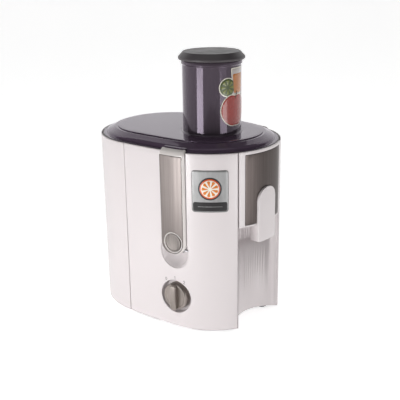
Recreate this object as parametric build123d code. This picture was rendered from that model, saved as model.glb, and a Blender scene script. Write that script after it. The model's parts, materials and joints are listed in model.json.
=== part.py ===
from build123d import *
import math
import os

# Centrifugal juicer, millimetres, +Z up, +X towards the juice spout, -Y the side with the switch knob.
# The origin is under the middle of the outer box, on the table.

# Outside of the body, seen from above: a small round end round the sieve, a larger one round the
# pulp container, and two long, slightly bowed sides.
LENGTH = 275.8
PULP_R = 99.0
SIEVE_R = 94.3
SIDE_R = 900.0
SPOUT_PROUD = 2.6
PULP_X = PULP_R - LENGTH / 2
SIEVE_X = LENGTH / 2 - SIEVE_R - SPOUT_PROUD
SEAM_X = SIEVE_X - 73.0

# Heights.
FOOT_Z = 4.0
DECK_Z = 152.0
LEDGE_Z = 249.0
RIM_Z = 251.8
LID_Z = 262.0
CHUTE_Z = 359.0
PUSHER_Z = 370.0

# Walls and gaps.
WALL = 3.0
LIP = 1.6
PULP_GAP = 0.6
GAP = 0.4
LID_GAP = 0.3
FLANGE_INSET = 2.3
FLANGE_TOP_Z = 252.0
LID_STEP_Z = 256.5

# Feed chute and pusher.
CHUTE_BORE_R = 37.5
CHUTE_R = 40.0
CHUTE_FOOT_Z = 192.0
PUSHER_R = 36.8
PUSHER_FOOT_Z = 186.0
PUSHER_CAP_R = 45.0
PUSHER_TOP_R = 38.0

# Stickers: heights, and angles about the sieve axis.
LABEL_FOOT_Z = 272.0
LABEL_TOP_Z = 352.0
LABEL_ANGLE = 40.0
BADGE_FOOT_Z = 174.4
BADGE_TOP_Z = 230.6
BADGE_ANGLE = 14.5
BADGE_TURN = -51.8

# Sieve basket and juice collector.
BASKET_FOOT_R = 46.5
BASKET_TOP_R = 58.0
BASKET_FOOT_Z = 170.0
BASKET_TOP_Z = 226.0
COLLECTOR_R = 70.0
COLLECTOR_TOP_Z = 232.0

# Jug recess under the spout.
RECESS_X = SIEVE_X + 110.4
RECESS_R = 53.5
RECESS_TOP_Z = 107.0
POCKET_R = 64.0
POCKET_HALF_W = 38.0
POCKET_TOP_Z = 149.0

# Spout end panel, as half angles about the sieve axis.
PANEL_ANGLE = 28.7
STEEL_ANGLE = 23.0
STEEL_FOOT_Z = 151.6
STEEL_TOP_Z = 247.6
PANEL_BACK_R = 91.8
STEEL_BACK_R = 93.0

# Spout.
SPOUT_W = 37.0
SPOUT_ARCH_Z = 181.0
SPOUT_FOOT_Z = 125.0
SPOUT_BACK_X = SIEVE_X + 82.0

# Latches and knob sit on a plane turned a little about the sieve axis.
TURN = math.degrees(math.asin(11.0 / SIEVE_R))
LATCH_W = 38.0
LATCH_TOP_Z = 255.0
LATCH_FOOT_Z = 111.0
LATCH_OUT = 3.0
LATCH_IN = 1.5
LATCH_PIVOT_Z = 117.0
LATCH_PIVOT_R = 89.2
LATCH_PIN_R = 1.5
LATCH_EAR_X = 10.5
LATCH_DISC_R = 12.8
LATCH_DISC_Z = 127.6
LATCH_DISC_BACK = 95.0
HOLLOW_R = 24.0
HOLLOW_OUT = 8.0
HOLLOW_Z = LATCH_FOOT_Z + 2.0
HOLLOW_FOOT_Z = LATCH_FOOT_Z - 30.0
KNOB_Z = 48.0
KNOB_R = 18.8
KNOB_DISH_R = 23.5
KNOB_DISH_FLOOR = 84.5
KNOB_FACE = 96.0
GRIP_FACE = 102.5
GRIP_HALF_W = 4.5
GRIP_END_GAP = 1.5
SWITCH_SHAFT_R = 4.0

# Motor, on the sieve axis.
SHAFT_R = 4.0
RUNNING = 0.05
ROTOR_R = 23.0
STATOR_R = 37.0
STATOR_FOOT_Z = 55.0
STATOR_TOP_Z = 105.0
BRACKET_Z = 118.0
BRACKET_R = 40.0
DAMPER_REACH = 33.0

# The hole for the mains lead, and the feet and screws, in pairs on the two long sides.
BUSHING_X = SIEVE_X - 30.0
BUSHING_Z = 24.0
BUSHING_NECK_R = 5.0
SIDES = (-1, 1)
BASE_SCREW_PLACES = [(SIEVE_X + x, s * y) for x, y in ((-55.0, 91.0), (25.0, 84.0)) for s in SIDES]
FOOT_PLACES = [(SIEVE_X + x, s * y) for x, y in ((-58.0, 78.0), (57.5, 40.0)) for s in SIDES]
PULP_FOOT_PLACES = [(PULP_X + x, s * y) for x, y in ((-68.0, 45.0), (-10.0, 82.0)) for s in SIDES]


def plan(inset):
    """The body's outline seen from above, moved inwards by inset."""
    left, right = Vector(PULP_X, 0), Vector(SIEVE_X, 0)
    side = SIDE_R - inset
    to_left, to_right = SIDE_R - PULP_R, SIDE_R - SIEVE_R
    span = SIEVE_X - PULP_X
    along = (to_left**2 - to_right**2 + span**2) / (2 * span)
    centre = Vector(PULP_X + along, -math.sqrt(to_left**2 - along**2))
    to_a, to_b = (left - centre).normalized(), (right - centre).normalized()
    a, b = centre + to_a * side, centre + to_b * side
    middle = centre + (to_a + to_b).normalized() * side

    def mirror(p):
        return Vector(p.X, -p.Y)

    return make_face(
        [
            ThreePointArc(a, middle, b),
            ThreePointArc(b, Vector(SIEVE_X + SIEVE_R - inset, 0), mirror(b)),
            ThreePointArc(mirror(b), mirror(middle), mirror(a)),
            ThreePointArc(mirror(a), Vector(PULP_X - PULP_R + inset, 0), a),
        ]
    )


def block(inset, low, high):
    """The outline as a solid between two heights."""
    return Pos(0, 0, low) * extrude(plan(inset), high - low)


def ring_wall(outer, inner, low, high):
    """A wall that follows the outline, between two insets."""
    return block(outer, low, high) - block(inner, low - 1, high + 1)


def rod(radius, low, high, x=SIEVE_X, y=0.0):
    """An upright round bar."""
    return Pos(x, y, (low + high) / 2) * Cylinder(radius, high - low)


def tube(outer, inner, low, high, x=SIEVE_X, y=0.0):
    """An upright tube."""
    return rod(outer, low, high, x, y) - rod(inner, low - 1, high + 1, x, y)


def cone(low_r, high_r, low, high):
    """An upright cone on the sieve axis."""
    return Pos(SIEVE_X, 0, (low + high) / 2) * Cone(low_r, high_r, high - low)


def brick(x, y, z):
    """A box between two values on each axis."""
    size = (x[1] - x[0], y[1] - y[0], z[1] - z[0])
    middle = ((x[0] + x[1]) / 2, (y[0] + y[1]) / 2, (z[0] + z[1]) / 2)
    return Pos(*middle) * Box(*size)


def wedge(half_angle, low, high):
    """A tall slice about the sieve axis, opening towards +X."""
    reach = 2 * SIEVE_R
    rise = reach * math.tan(math.radians(half_angle))
    face = make_face(Polyline((0, 0), (reach, -rise), (reach, rise), close=True))
    return Pos(SIEVE_X, 0, low) * extrude(face, high - low)


def turned(shape):
    """A shape made in front of the sieve axis, turned onto the latch and knob plane."""
    return Pos(SIEVE_X, 0, 0) * Rot(0, 0, TURN) * shape


def outward(radius, low, high, z, across=0.0):
    """A round bar that points out of the front, between two distances from the sieve axis."""
    return turned(Pos(across, -(low + high) / 2, z) * Rot(90, 0, 0) * Cylinder(radius, high - low))


def mirrored(shape):
    """The same shape on the other long side."""
    return mirror(shape, about=Plane.XZ)


def spokes(shape, count, first=0.0):
    """Copies of a shape spread evenly about the sieve axis."""
    centre = Pos(SIEVE_X, 0, 0)
    return [
        centre * Rot(0, 0, first + 360 / count * k) * centre.inverse() * shape for k in range(count)
    ]


def arch(grow, back, front, foot):
    """The spout's round-topped outline, pushed along X."""
    half = SPOUT_W / 2 + grow
    upright = brick((back, front), (-half, half), (foot, SPOUT_ARCH_Z))
    top = Pos((back + front) / 2, 0, SPOUT_ARCH_Z) * Rot(0, 90, 0) * Cylinder(half, front - back)
    return upright + top


def spout_side():
    """Everything on the sieve side of the seam."""
    return brick((SEAM_X, LENGTH), (-LENGTH, LENGTH), (-1, PUSHER_Z))


def jug_space(wall):
    """The recess for the jug and the deeper pocket above it, shrunk or grown by a wall."""
    recess = rod(RECESS_R + wall, -1, RECESS_TOP_Z + wall, RECESS_X)
    pocket = rod(POCKET_R + wall, RECESS_TOP_Z - wall, POCKET_TOP_Z + wall, RECESS_X)
    half = POCKET_HALF_W + wall
    pocket &= brick((0, LENGTH), (-half, half), (0, PUSHER_Z))
    mouth = rod(RECESS_R + wall, RECESS_TOP_Z, POCKET_TOP_Z + wall, RECESS_X)
    return recess + pocket + mouth


def latch_slab(grow, foot, top):
    """The latch's outline: straight sides and a rounded foot."""
    half = LATCH_W / 2 + grow
    corner = 0.85 * half
    side = [(-half, top), (-half, foot + corner), (half, foot + corner), (half, top)]
    upper = make_face(Polyline(*side, close=True))
    lower = Pos(0, foot + corner) * RectangleRounded(2 * half, 2 * corner, 0.98 * corner)
    face = Plane.XZ * (upper + lower)
    return turned(Pos(0, -0.5 * SIEVE_R, 0) * extrude(face, SIEVE_R))


def lid_flange(grow):
    """The lid's outer flange with its bevelled edge."""
    low, high = LEDGE_Z + LID_GAP - grow, FLANGE_TOP_Z + grow
    bevel = block(FLANGE_INSET - grow, low, high)
    return chamfer(bevel.edges().group_by(Axis.Z)[-1], 2.0)


def motor_housing():
    outer = block(0, FOOT_Z, RIM_Z) & spout_side()
    outer -= block(LIP, LEDGE_Z, RIM_Z + 1)
    outer -= jug_space(0)
    inside = block(WALL, FOOT_Z - 1, RIM_Z + 1) & brick(
        (SEAM_X + WALL, LENGTH), (-LENGTH, LENGTH), (-1, PUSHER_Z)
    )
    inside -= jug_space(WALL)
    thick_end = tube(SIEVE_R + 1, SIEVE_R - 6.5, POCKET_TOP_Z, LEDGE_Z) & wedge(
        PANEL_ANGLE + 3, POCKET_TOP_Z, LEDGE_Z
    )
    inside -= thick_end
    dish_back = outward(KNOB_DISH_R + WALL, KNOB_DISH_FLOOR - WALL, SIEVE_R + 2, KNOB_Z)
    inside -= dish_back
    for side in (latch_back(), mirrored(latch_back())):
        inside -= side
    shell = outer - inside
    deck = (block(WALL - 0.5, DECK_Z, DECK_Z + WALL) & spout_side()) - rod(16, 0, LID_Z)
    shell += deck - jug_space(0)
    bosses = spokes(rod(5, BRACKET_Z + 10, DECK_Z + 1, SIEVE_X + DAMPER_REACH), 4, 45)
    for boss in bosses:
        shell += boss
    panel_seat = tube(SIEVE_R + 1, PANEL_BACK_R, POCKET_TOP_Z - 1, PUSHER_Z)
    shell -= panel_seat & wedge(PANEL_ANGLE + 0.3, POCKET_TOP_Z - 1, PUSHER_Z)
    shell -= arch(GAP + 0.1, SPOUT_BACK_X - 0.5, LENGTH, POCKET_TOP_Z - 1)
    shell -= brick((SEAM_X - 1, SEAM_X + WALL + 1), (-80, 80), (228, RIM_Z + 1))
    shell -= outward(KNOB_DISH_R, KNOB_DISH_FLOOR, SIEVE_R + 20, KNOB_Z)
    shell -= outward(SWITCH_SHAFT_R + RUNNING, KNOB_DISH_FLOOR - 20, SIEVE_R, KNOB_Z)
    for side in (latch_pocket(), mirrored(latch_pocket())):
        shell -= side
    shell -= cable_bore(BUSHING_NECK_R + RUNNING)
    shell -= latch_pin(LATCH_PIN_R, LATCH_W + 6)
    shell -= mirrored(latch_pin(LATCH_PIN_R, LATCH_W + 6))
    for x, y in BASE_SCREW_PLACES:
        shell += tube(5, 1.5, FOOT_Z + WALL, FOOT_Z + 16, x, y)
    return shell


def latch_back():
    """Solid wall behind a latch and its finger hollow."""
    pad = ring_wall(0, LATCH_IN + 1.5 + WALL, LATCH_FOOT_Z - 23, RIM_Z)
    pad &= latch_slab(WALL, LATCH_FOOT_Z - 23, RIM_Z + 5)
    return pad + finger_hollow(WALL)


def finger_hollow(grow):
    """The round hollow under a latch's foot, with room for its tail to swing in."""
    ball = turned(Pos(0, -SIEVE_R - HOLLOW_OUT, HOLLOW_Z) * Sphere(HOLLOW_R + grow))
    return ball & block(-20, HOLLOW_FOOT_Z, LATCH_FOOT_Z + HOLLOW_R + grow)


def latch_pocket():
    """What is cut from the housing for a latch: its channel, its finger hollow and its pin."""
    channel = ring_wall(-5, LATCH_IN + GAP, LATCH_FOOT_Z - 2, RIM_Z + 5)
    channel &= latch_slab(GAP, LATCH_FOOT_Z - 2, RIM_Z + 6)
    return channel + finger_hollow(0)


def cable_bore(radius):
    return Pos(BUSHING_X, PULP_R - 10, BUSHING_Z) * Rot(90, 0, 0) * Cylinder(radius, 40)


def base_plate():
    plate = block(WALL + 0.2, FOOT_Z, FOOT_Z + WALL) & brick(
        (SEAM_X + WALL + 0.2, LENGTH), (-LENGTH, LENGTH), (-1, PUSHER_Z)
    )
    plate -= jug_space(WALL + 0.2)
    for x, y in BASE_SCREW_PLACES:
        plate -= rod(1.7, 0, 20, x, y)
        plate -= rod(3.2, 0, FOOT_Z + 1.5, x, y)
    for x, y in FOOT_PLACES:
        plate -= rod(4.0, 0, 20, x, y)
    for k in range(7):
        slot = brick((-1.5, 1.5), (-18, 18), (0, 20))
        plate -= Pos(SIEVE_X - 24 + 8 * k, 0, 0) * slot
    return plate


def rubber_feet():
    return [
        rod(8, 0, FOOT_Z, x, y) + rod(3.9, FOOT_Z - 0.5, FOOT_Z + WALL, x, y) for x, y in FOOT_PLACES
    ]


def base_screws():
    return [
        rod(3.1, FOOT_Z + 0.1, FOOT_Z + 1.5, x, y) + rod(1.5, FOOT_Z + 1, FOOT_Z + 14, x, y)
        for x, y in BASE_SCREW_PLACES
    ]


def end_frame():
    frame = tube(SIEVE_R, PANEL_BACK_R, POCKET_TOP_Z + GAP, RIM_Z) - block(LIP, LEDGE_Z, RIM_Z + 1)
    frame &= wedge(PANEL_ANGLE, 0, PUSHER_Z)
    window = tube(SIEVE_R + 1, STEEL_BACK_R, STEEL_FOOT_Z, STEEL_TOP_Z)
    window &= wedge(STEEL_ANGLE, 0, PUSHER_Z)
    return frame - window - arch(GAP, SIEVE_X, LENGTH, SPOUT_FOOT_Z)


def steel_end_panel():
    panel = tube(SIEVE_R - 0.1, STEEL_BACK_R, STEEL_FOOT_Z + 0.2, STEEL_TOP_Z - 0.2)
    panel &= wedge(STEEL_ANGLE - 0.15, 0, PUSHER_Z)
    return panel - arch(GAP, SIEVE_X, LENGTH, SPOUT_FOOT_Z)


def spout():
    face = rod(SIEVE_R + SPOUT_PROUD, SPOUT_FOOT_Z, RIM_Z)
    hood = arch(0, SPOUT_BACK_X, LENGTH, SPOUT_FOOT_Z) & face
    hollow = arch(-2.4, SPOUT_BACK_X - 1, SIEVE_X + SIEVE_R - 0.6, SPOUT_FOOT_Z - 1)
    return hood - hollow


def juice_collector():
    floor_z = DECK_Z + WALL + 0.5
    bowl = tube(COLLECTOR_R, COLLECTOR_R - 2.4, floor_z, COLLECTOR_TOP_Z)
    bowl += tube(COLLECTOR_R, 20, floor_z, floor_z + 2.4)
    bowl += tube(22, 20, floor_z, BASKET_FOOT_Z - 4)
    nozzle_w = SPOUT_W / 2 - 4.5
    lead = COLLECTOR_R - 3
    trough = brick((SIEVE_X + lead, SPOUT_BACK_X + 3), (-nozzle_w, nozzle_w), (floor_z, floor_z + 22))
    inner = brick(
        (SIEVE_X + lead - 5, SPOUT_BACK_X + 4),
        (2.4 - nozzle_w, nozzle_w - 2.4),
        (floor_z + 2.4, floor_z + 19.6),
    )
    return bowl + trough - inner - rod(COLLECTOR_R - 2.4, floor_z + 2.4, COLLECTOR_TOP_Z + 1) + tube(
        22, 20, floor_z, BASKET_FOOT_Z - 4
    )


def front_badge():
    """The sticker on the front, beside the spout panel."""
    skin = tube(SIEVE_R + 0.25, SIEVE_R, BADGE_FOOT_Z, BADGE_TOP_Z)
    centre = Pos(SIEVE_X, 0, 0)
    return skin & (centre * Rot(0, 0, BADGE_TURN) * centre.inverse() * wedge(BADGE_ANGLE, 0, PUSHER_Z))


def cable_bushing(reach):
    """The ring that the mains lead passes through, standing out of the rear as far as reach."""
    back_y = side_y(BUSHING_X)
    head = Pos(BUSHING_X, (back_y + 0.7 + reach) / 2, BUSHING_Z) * Rot(90, 0, 0) * Cylinder(
        7.5, reach - back_y - 0.7
    )
    neck = Pos(BUSHING_X, back_y - 3, BUSHING_Z) * Rot(90, 0, 0) * Cylinder(BUSHING_NECK_R, 8)
    return head + neck - cable_bore(3.4)


def side_y(x):
    """How far the long side stands out at a given x."""
    cut = block(0, FOOT_Z, FOOT_Z + 1) & brick((x - 0.01, x + 0.01), (0, LENGTH), (0, 20))
    return cut.bounding_box().max.Y


def switch_body():
    box = turned(brick((-14, 14), (-81, -62), (KNOB_Z - 14, KNOB_Z + 14)))
    return box - outward(SWITCH_SHAFT_R + RUNNING, 70, 90, KNOB_Z)


def circuit_board():
    board = brick((SIEVE_X - 62.0, SIEVE_X - 60.4), (-30, 30), (40, 100))
    for y, size in ((-16, 14), (4, 10), (20, 12)):
        board += brick((SIEVE_X - 60.4, SIEVE_X - 60.4 + size), (y - 6, y + 6), (52, 52 + size))
    for y in (-25, 25):
        for z in (46, 94):
            board += brick((SEAM_X + WALL, SIEVE_X - 62), (y - 2, y + 2), (z - 2, z + 2))
    return board


def stator():
    core = rod(STATOR_R, STATOR_FOOT_Z, STATOR_TOP_Z) & brick(
        (0, LENGTH), (-30, 30), (STATOR_FOOT_Z, STATOR_TOP_Z)
    )
    return core - rod(ROTOR_R + 0.6, 0, PUSHER_Z)


def field_windings():
    return [
        tube(29.5, ROTOR_R + 1.6, STATOR_FOOT_Z - 8, STATOR_FOOT_Z),
        tube(29.5, ROTOR_R + 1.6, STATOR_TOP_Z, STATOR_TOP_Z + 6.5),
    ]


def upper_bracket():
    plate = rod(BRACKET_R, BRACKET_Z, BRACKET_Z + 4) + rod(13, BRACKET_Z, BRACKET_Z + 7)
    plate -= rod(10, 0, PUSHER_Z)
    for hole in spokes(rod(6, 0, PUSHER_Z, SIEVE_X + 24), 4):
        plate -= hole
    for post in spokes(rod(3.5, STATOR_TOP_Z, BRACKET_Z + 1, SIEVE_X + 33), 2):
        plate += post
    for hole in spokes(rod(1.6, 0, PUSHER_Z, SIEVE_X + 33), 2):
        plate -= hole
    return plate


def lower_bracket():
    bar = rod(STATOR_R, 28, 33) + rod(12, 26, 33)
    bar -= rod(8, 0, PUSHER_Z)
    for hole in spokes(rod(5, 0, PUSHER_Z, SIEVE_X + 24), 6, 30):
        bar -= hole
    for post in spokes(rod(3.5, 32, STATOR_FOOT_Z, SIEVE_X + 33), 2):
        bar += post
    return bar


def motor_bearings():
    upper = tube(10, SHAFT_R + RUNNING, BRACKET_Z, BRACKET_Z + 7)
    lower = tube(8, SHAFT_R + RUNNING, 27, 33)
    return [upper, lower]


def motor_screws():
    return [
        rod(4, BRACKET_Z + 4, BRACKET_Z + 6.5, x) + rod(1.5, BRACKET_Z - 10, BRACKET_Z + 5, x)
        for x in (SIEVE_X - 33, SIEVE_X + 33)
    ]


def motor_dampers():
    return spokes(rod(5, BRACKET_Z + 4, BRACKET_Z + 10, SIEVE_X + DAMPER_REACH), 4, 45)


def brush_holders():
    def holder(side):
        y = sorted((side * 13, side * 27))
        block_ = brick((SIEVE_X - 5, SIEVE_X + 5), y, (33, 46.5))
        return block_ - brick((SIEVE_X - 3, SIEVE_X + 3), (-40, 40), (38.5, 44.5))

    return [holder(-1), holder(1)]


def carbon_brushes():
    def brush(side):
        y = sorted((side * 11, side * 24))
        bar = brick((SIEVE_X - 2.9, SIEVE_X + 2.9), y, (38.6, 44.4))
        return bar - rod(11.4, 30, 60)

    return [brush(-1), brush(1)]


def shaft_seal():
    return tube(15.9, SHAFT_R + 0.4, DECK_Z - 1, DECK_Z + 2)


def motor_shaft():
    return rod(SHAFT_R, 24, 166)


def rotor_core():
    core = tube(ROTOR_R, SHAFT_R, STATOR_FOOT_Z, STATOR_TOP_Z)
    for slot in spokes(brick((SIEVE_X + 15, SIEVE_X + 25), (-1.5, 1.5), (0, PUSHER_Z)), 12):
        core -= slot
    return core


def rotor_windings():
    return [
        tube(19, SHAFT_R + 1, 49, STATOR_FOOT_Z),
        tube(19, SHAFT_R + 1, STATOR_TOP_Z, STATOR_TOP_Z + 6),
    ]


def commutator():
    return tube(11, SHAFT_R, 36, 48.5)


def cooling_fan():
    disc = tube(28.5, SHAFT_R, 112.4, 113.6)
    for blade in spokes(brick((SIEVE_X + 6, SIEVE_X + 28), (-0.6, 0.6), (113, 116.8)), 10):
        disc += blade
    return disc + tube(8, SHAFT_R, 112, 117)


def drive_coupling():
    body = tube(13, SHAFT_R, DECK_Z + 3, BASKET_FOOT_Z - 1)
    for dog in spokes(rod(2.5, DECK_Z + 3, BASKET_FOOT_Z - 1, SIEVE_X + 13.5), 3):
        body -= dog
    return body + rod(8, 166, BASKET_FOOT_Z - 1)


def mesh_solid(grow):
    """The sieve cone, solid, grown outwards."""
    return cone(BASKET_FOOT_R + grow, BASKET_TOP_R + grow, BASKET_FOOT_Z + 3, BASKET_TOP_Z)


def sieve_mesh():
    return mesh_solid(0) - mesh_solid(-0.8)


def basket_frame():
    base = rod(BASKET_FOOT_R + 1.5, BASKET_FOOT_Z, BASKET_FOOT_Z + 3)
    base += tube(17.5, 14, DECK_Z + 8, BASKET_FOOT_Z + 1)
    rim = tube(BASKET_TOP_R + 3.5, BASKET_TOP_R - 0.8, BASKET_TOP_Z, BASKET_TOP_Z + 5)
    frame = base + rim
    foot, top = BASKET_FOOT_R, BASKET_TOP_R
    profile = make_face(
        Plane.XZ
        * Polyline(
            (foot - 1, BASKET_FOOT_Z + 1),
            (foot + 1.5, BASKET_FOOT_Z),
            (top + 2.5, BASKET_TOP_Z + 2),
            (top, BASKET_TOP_Z + 2),
            close=True,
        )
    )
    rib = Pos(SIEVE_X, 1, 0) * extrude(profile, 2)
    for one in spokes(rib, 6):
        frame += one
    return frame - mesh_solid(0)


def grating_disc():
    disc = rod(40, BASKET_FOOT_Z + 3, BASKET_FOOT_Z + 4.2)
    for reach in (12, 20, 28, 36):
        tooth = Pos(SIEVE_X + reach, 0, BASKET_FOOT_Z + 5) * Rot(0, 0, 25) * Box(3, 1, 2.4)
        for one in spokes(tooth, reach // 2):
            disc += one
    return disc


def lid():
    cover = lid_flange(0)
    step = block(9.0, FLANGE_TOP_Z - 1, LID_STEP_Z)
    cover += chamfer(step.edges().group_by(Axis.Z)[-1], 1.5)
    crown = block(17.0, 256, LID_Z)
    cover += chamfer(crown.edges().group_by(Axis.Z)[-1], 4.0)
    cover -= block(11.5, LEDGE_Z - 1, 254.0)
    cover -= block(24.0, LEDGE_Z - 1, 259.5)
    cover += rod(CHUTE_R, CHUTE_FOOT_Z, CHUTE_Z - 4)
    collar = rod(CHUTE_R + 1.4, CHUTE_Z - 5, CHUTE_Z)
    cover += chamfer(collar.edges().group_by(Axis.Z)[0], 1.0)
    guide = tube(65.4, 63, 236, 260) - brick((-LENGTH, SIEVE_X - 30), (-LENGTH, LENGTH), (238.4, 262))
    cover += guide
    cover += tube(71, 63, 236, 238.4)
    cover += lid_catch() + mirrored(lid_catch())
    return cover - rod(CHUTE_BORE_R, 0, PUSHER_Z)


def lid_catch():
    """The raised bar on the lid's flange that a latch's hook closes against."""
    bar = ring_wall(FLANGE_INSET + 4.5, 9.5, FLANGE_TOP_Z - 1, LID_STEP_Z)
    return bar & latch_slab(-1, LATCH_FOOT_Z, PUSHER_Z)


def lid_gasket():
    return tube(70.2, 66.5, 233, 236)


def chute_label():
    """A thin sticker wrapped round the spout side of the chute."""
    skin = tube(CHUTE_R + 0.3, CHUTE_R, LABEL_FOOT_Z, LABEL_TOP_Z)
    return skin & wedge(LABEL_ANGLE, 0, PUSHER_Z)


def pusher_tube():
    body = rod(PUSHER_R, PUSHER_FOOT_Z, CHUTE_Z + 0.5)
    body = chamfer(body.edges().group_by(Axis.Z)[0], 2)
    return body - rod(PUSHER_R - 2.4, PUSHER_FOOT_Z + 2.4, PUSHER_Z)


def pusher_cap():
    flange_z = CHUTE_Z + 4
    cap = rod(PUSHER_CAP_R, CHUTE_Z + 0.5, flange_z)
    cap += cone(PUSHER_CAP_R, PUSHER_TOP_R, flange_z, PUSHER_Z)
    return cap + tube(PUSHER_R - 2.4, PUSHER_R - 5, CHUTE_Z - 8, CHUTE_Z + 1)


def latch_arm():
    arm = ring_wall(1.2 - LATCH_OUT, LATCH_IN, LATCH_FOOT_Z, LATCH_TOP_Z)
    hook = ring_wall(1.2 - LATCH_OUT, FLANGE_INSET + 4, FLANGE_TOP_Z - 2.4, LATCH_TOP_Z)
    arm = (arm + hook) & latch_slab(0, LATCH_FOOT_Z, LATCH_TOP_Z)
    arm -= lid_flange(LID_GAP)
    for x in (-LATCH_EAR_X, LATCH_EAR_X):
        low, high = LATCH_PIVOT_Z - 2.7, LATCH_PIVOT_Z + 4
        ear = turned(brick((x - 3, x + 3), (-94, 2.7 - LATCH_PIVOT_R), (low, high)))
        arm += ear & block(LATCH_IN - 0.5, 0, PUSHER_Z)
    arm -= outward(LATCH_DISC_R + 0.1, LATCH_DISC_BACK, SIEVE_R + 9, LATCH_DISC_Z)
    return arm - latch_pin(LATCH_PIN_R + RUNNING, LATCH_W + 8)


def latch_pin(radius, length):
    return turned(Pos(0, -LATCH_PIVOT_R, LATCH_PIVOT_Z) * Rot(0, 90, 0) * Cylinder(radius, length))


def latch_trim():
    face = ring_wall(-LATCH_OUT, 1.2 - LATCH_OUT, LATCH_FOOT_Z + 1, LATCH_TOP_Z)
    face &= latch_slab(-1, LATCH_FOOT_Z + 1, LATCH_TOP_Z - 2)
    return face - outward(LATCH_DISC_R + 0.1, LATCH_DISC_BACK, SIEVE_R + 9, LATCH_DISC_Z)


def latch_disc():
    disc = outward(LATCH_DISC_R, LATCH_DISC_BACK, SIEVE_R + LATCH_OUT + 0.5, LATCH_DISC_Z)
    dimple = outward(LATCH_DISC_R - 2.5, SIEVE_R + LATCH_OUT - 0.3, SIEVE_R + 9, LATCH_DISC_Z)
    return disc - dimple


def knob():
    dial = outward(KNOB_R, KNOB_DISH_FLOOR + 0.5, KNOB_FACE, KNOB_Z)
    dial -= outward(SWITCH_SHAFT_R, 0, KNOB_FACE - 5, KNOB_Z)
    return dial - grip(KNOB_FACE - 2, SIEVE_R + 20)


def grip(back, front):
    """The raised bar across the knob."""
    reach = KNOB_R - GRIP_END_GAP
    return turned(brick((-GRIP_HALF_W, GRIP_HALF_W), (-front, -back), (KNOB_Z - reach, KNOB_Z + reach)))


def knob_grip():
    return grip(KNOB_FACE - 2, GRIP_FACE)


def switch_shaft():
    return outward(SWITCH_SHAFT_R, 70.5, KNOB_FACE - 5, KNOB_Z)


def pulp_side(back):
    """Everything on the pulp side of a plane set back from the seam."""
    return brick((-LENGTH, SEAM_X - back), (-LENGTH, LENGTH), (-1, PUSHER_Z))


def pulp_container():
    tub = block(0, FOOT_Z, RIM_Z) & pulp_side(PULP_GAP)
    tub -= block(LIP, LEDGE_Z, RIM_Z + 1)
    tub -= block(WALL, FOOT_Z + WALL, RIM_Z + 1) & pulp_side(PULP_GAP + WALL)
    tub -= brick((SEAM_X - WALL - 2, SEAM_X + 1), (-80, 80), (228, RIM_Z + 1))
    for x, y in PULP_FOOT_PLACES:
        tub -= rod(3, 0, FOOT_Z + 1.5, x, y)
    return tub


def pulp_feet():
    return [rod(6, 0, FOOT_Z, x, y) + rod(2.9, 2, FOOT_Z + 1.4, x, y) for x, y in PULP_FOOT_PLACES]


def solids(shape):
    """Every separate solid in a shape or a list of shapes."""
    shapes = shape if isinstance(shape, list) else [shape]
    return [solid for one in shapes for solid in one.solids()]


def save(name, shape):
    export_step(Compound(label=name, children=solids(shape)), os.path.join("parts", name + ".step"))


def main():
    os.makedirs("parts", exist_ok=True)
    grip_reach = -knob_grip().bounding_box().min.Y
    pieces = {
        "motor_housing": motor_housing(),
        "base_plate": base_plate(),
        "rubber_feet": rubber_feet(),
        "base_screws": base_screws(),
        "end_frame": end_frame(),
        "steel_end_panel": steel_end_panel(),
        "juice_collector": juice_collector(),
        "spout": spout(),
        "front_badge": front_badge(),
        "cable_bushing": cable_bushing(grip_reach),
        "switch_body": switch_body(),
        "circuit_board": circuit_board(),
        "stator": stator(),
        "field_windings": field_windings(),
        "upper_bracket": upper_bracket(),
        "lower_bracket": lower_bracket(),
        "motor_bearings": motor_bearings(),
        "motor_screws": motor_screws(),
        "motor_dampers": motor_dampers(),
        "brush_holders": brush_holders(),
        "carbon_brushes": carbon_brushes(),
        "shaft_seal": shaft_seal(),
        "motor_shaft": motor_shaft(),
        "rotor_core": rotor_core(),
        "rotor_windings": rotor_windings(),
        "commutator": commutator(),
        "cooling_fan": cooling_fan(),
        "drive_coupling": drive_coupling(),
        "basket_frame": basket_frame(),
        "sieve_mesh": sieve_mesh(),
        "grating_disc": grating_disc(),
        "lid": lid(),
        "lid_gasket": lid_gasket(),
        "chute_label": chute_label(),
        "pusher_tube": pusher_tube(),
        "pusher_cap": pusher_cap(),
        "front_latch_arm": latch_arm(),
        "front_latch_trim": latch_trim(),
        "front_latch_disc": latch_disc(),
        "front_latch_pin": latch_pin(LATCH_PIN_R, LATCH_W + 6),
        "knob": knob(),
        "knob_grip": knob_grip(),
        "switch_shaft": switch_shaft(),
        "pulp_container": pulp_container(),
        "pulp_feet": pulp_feet(),
    }
    for piece in ("latch_arm", "latch_trim", "latch_disc", "latch_pin"):
        pieces["rear_" + piece] = mirrored(pieces["front_" + piece])
    for name, shape in pieces.items():
        save(name, shape)


main()
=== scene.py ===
import json
import math

import bmesh
import bpy
import numpy as np
from mathutils import Matrix, Vector
from mathutils.geometry import delaunay_2d_cdt


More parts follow.
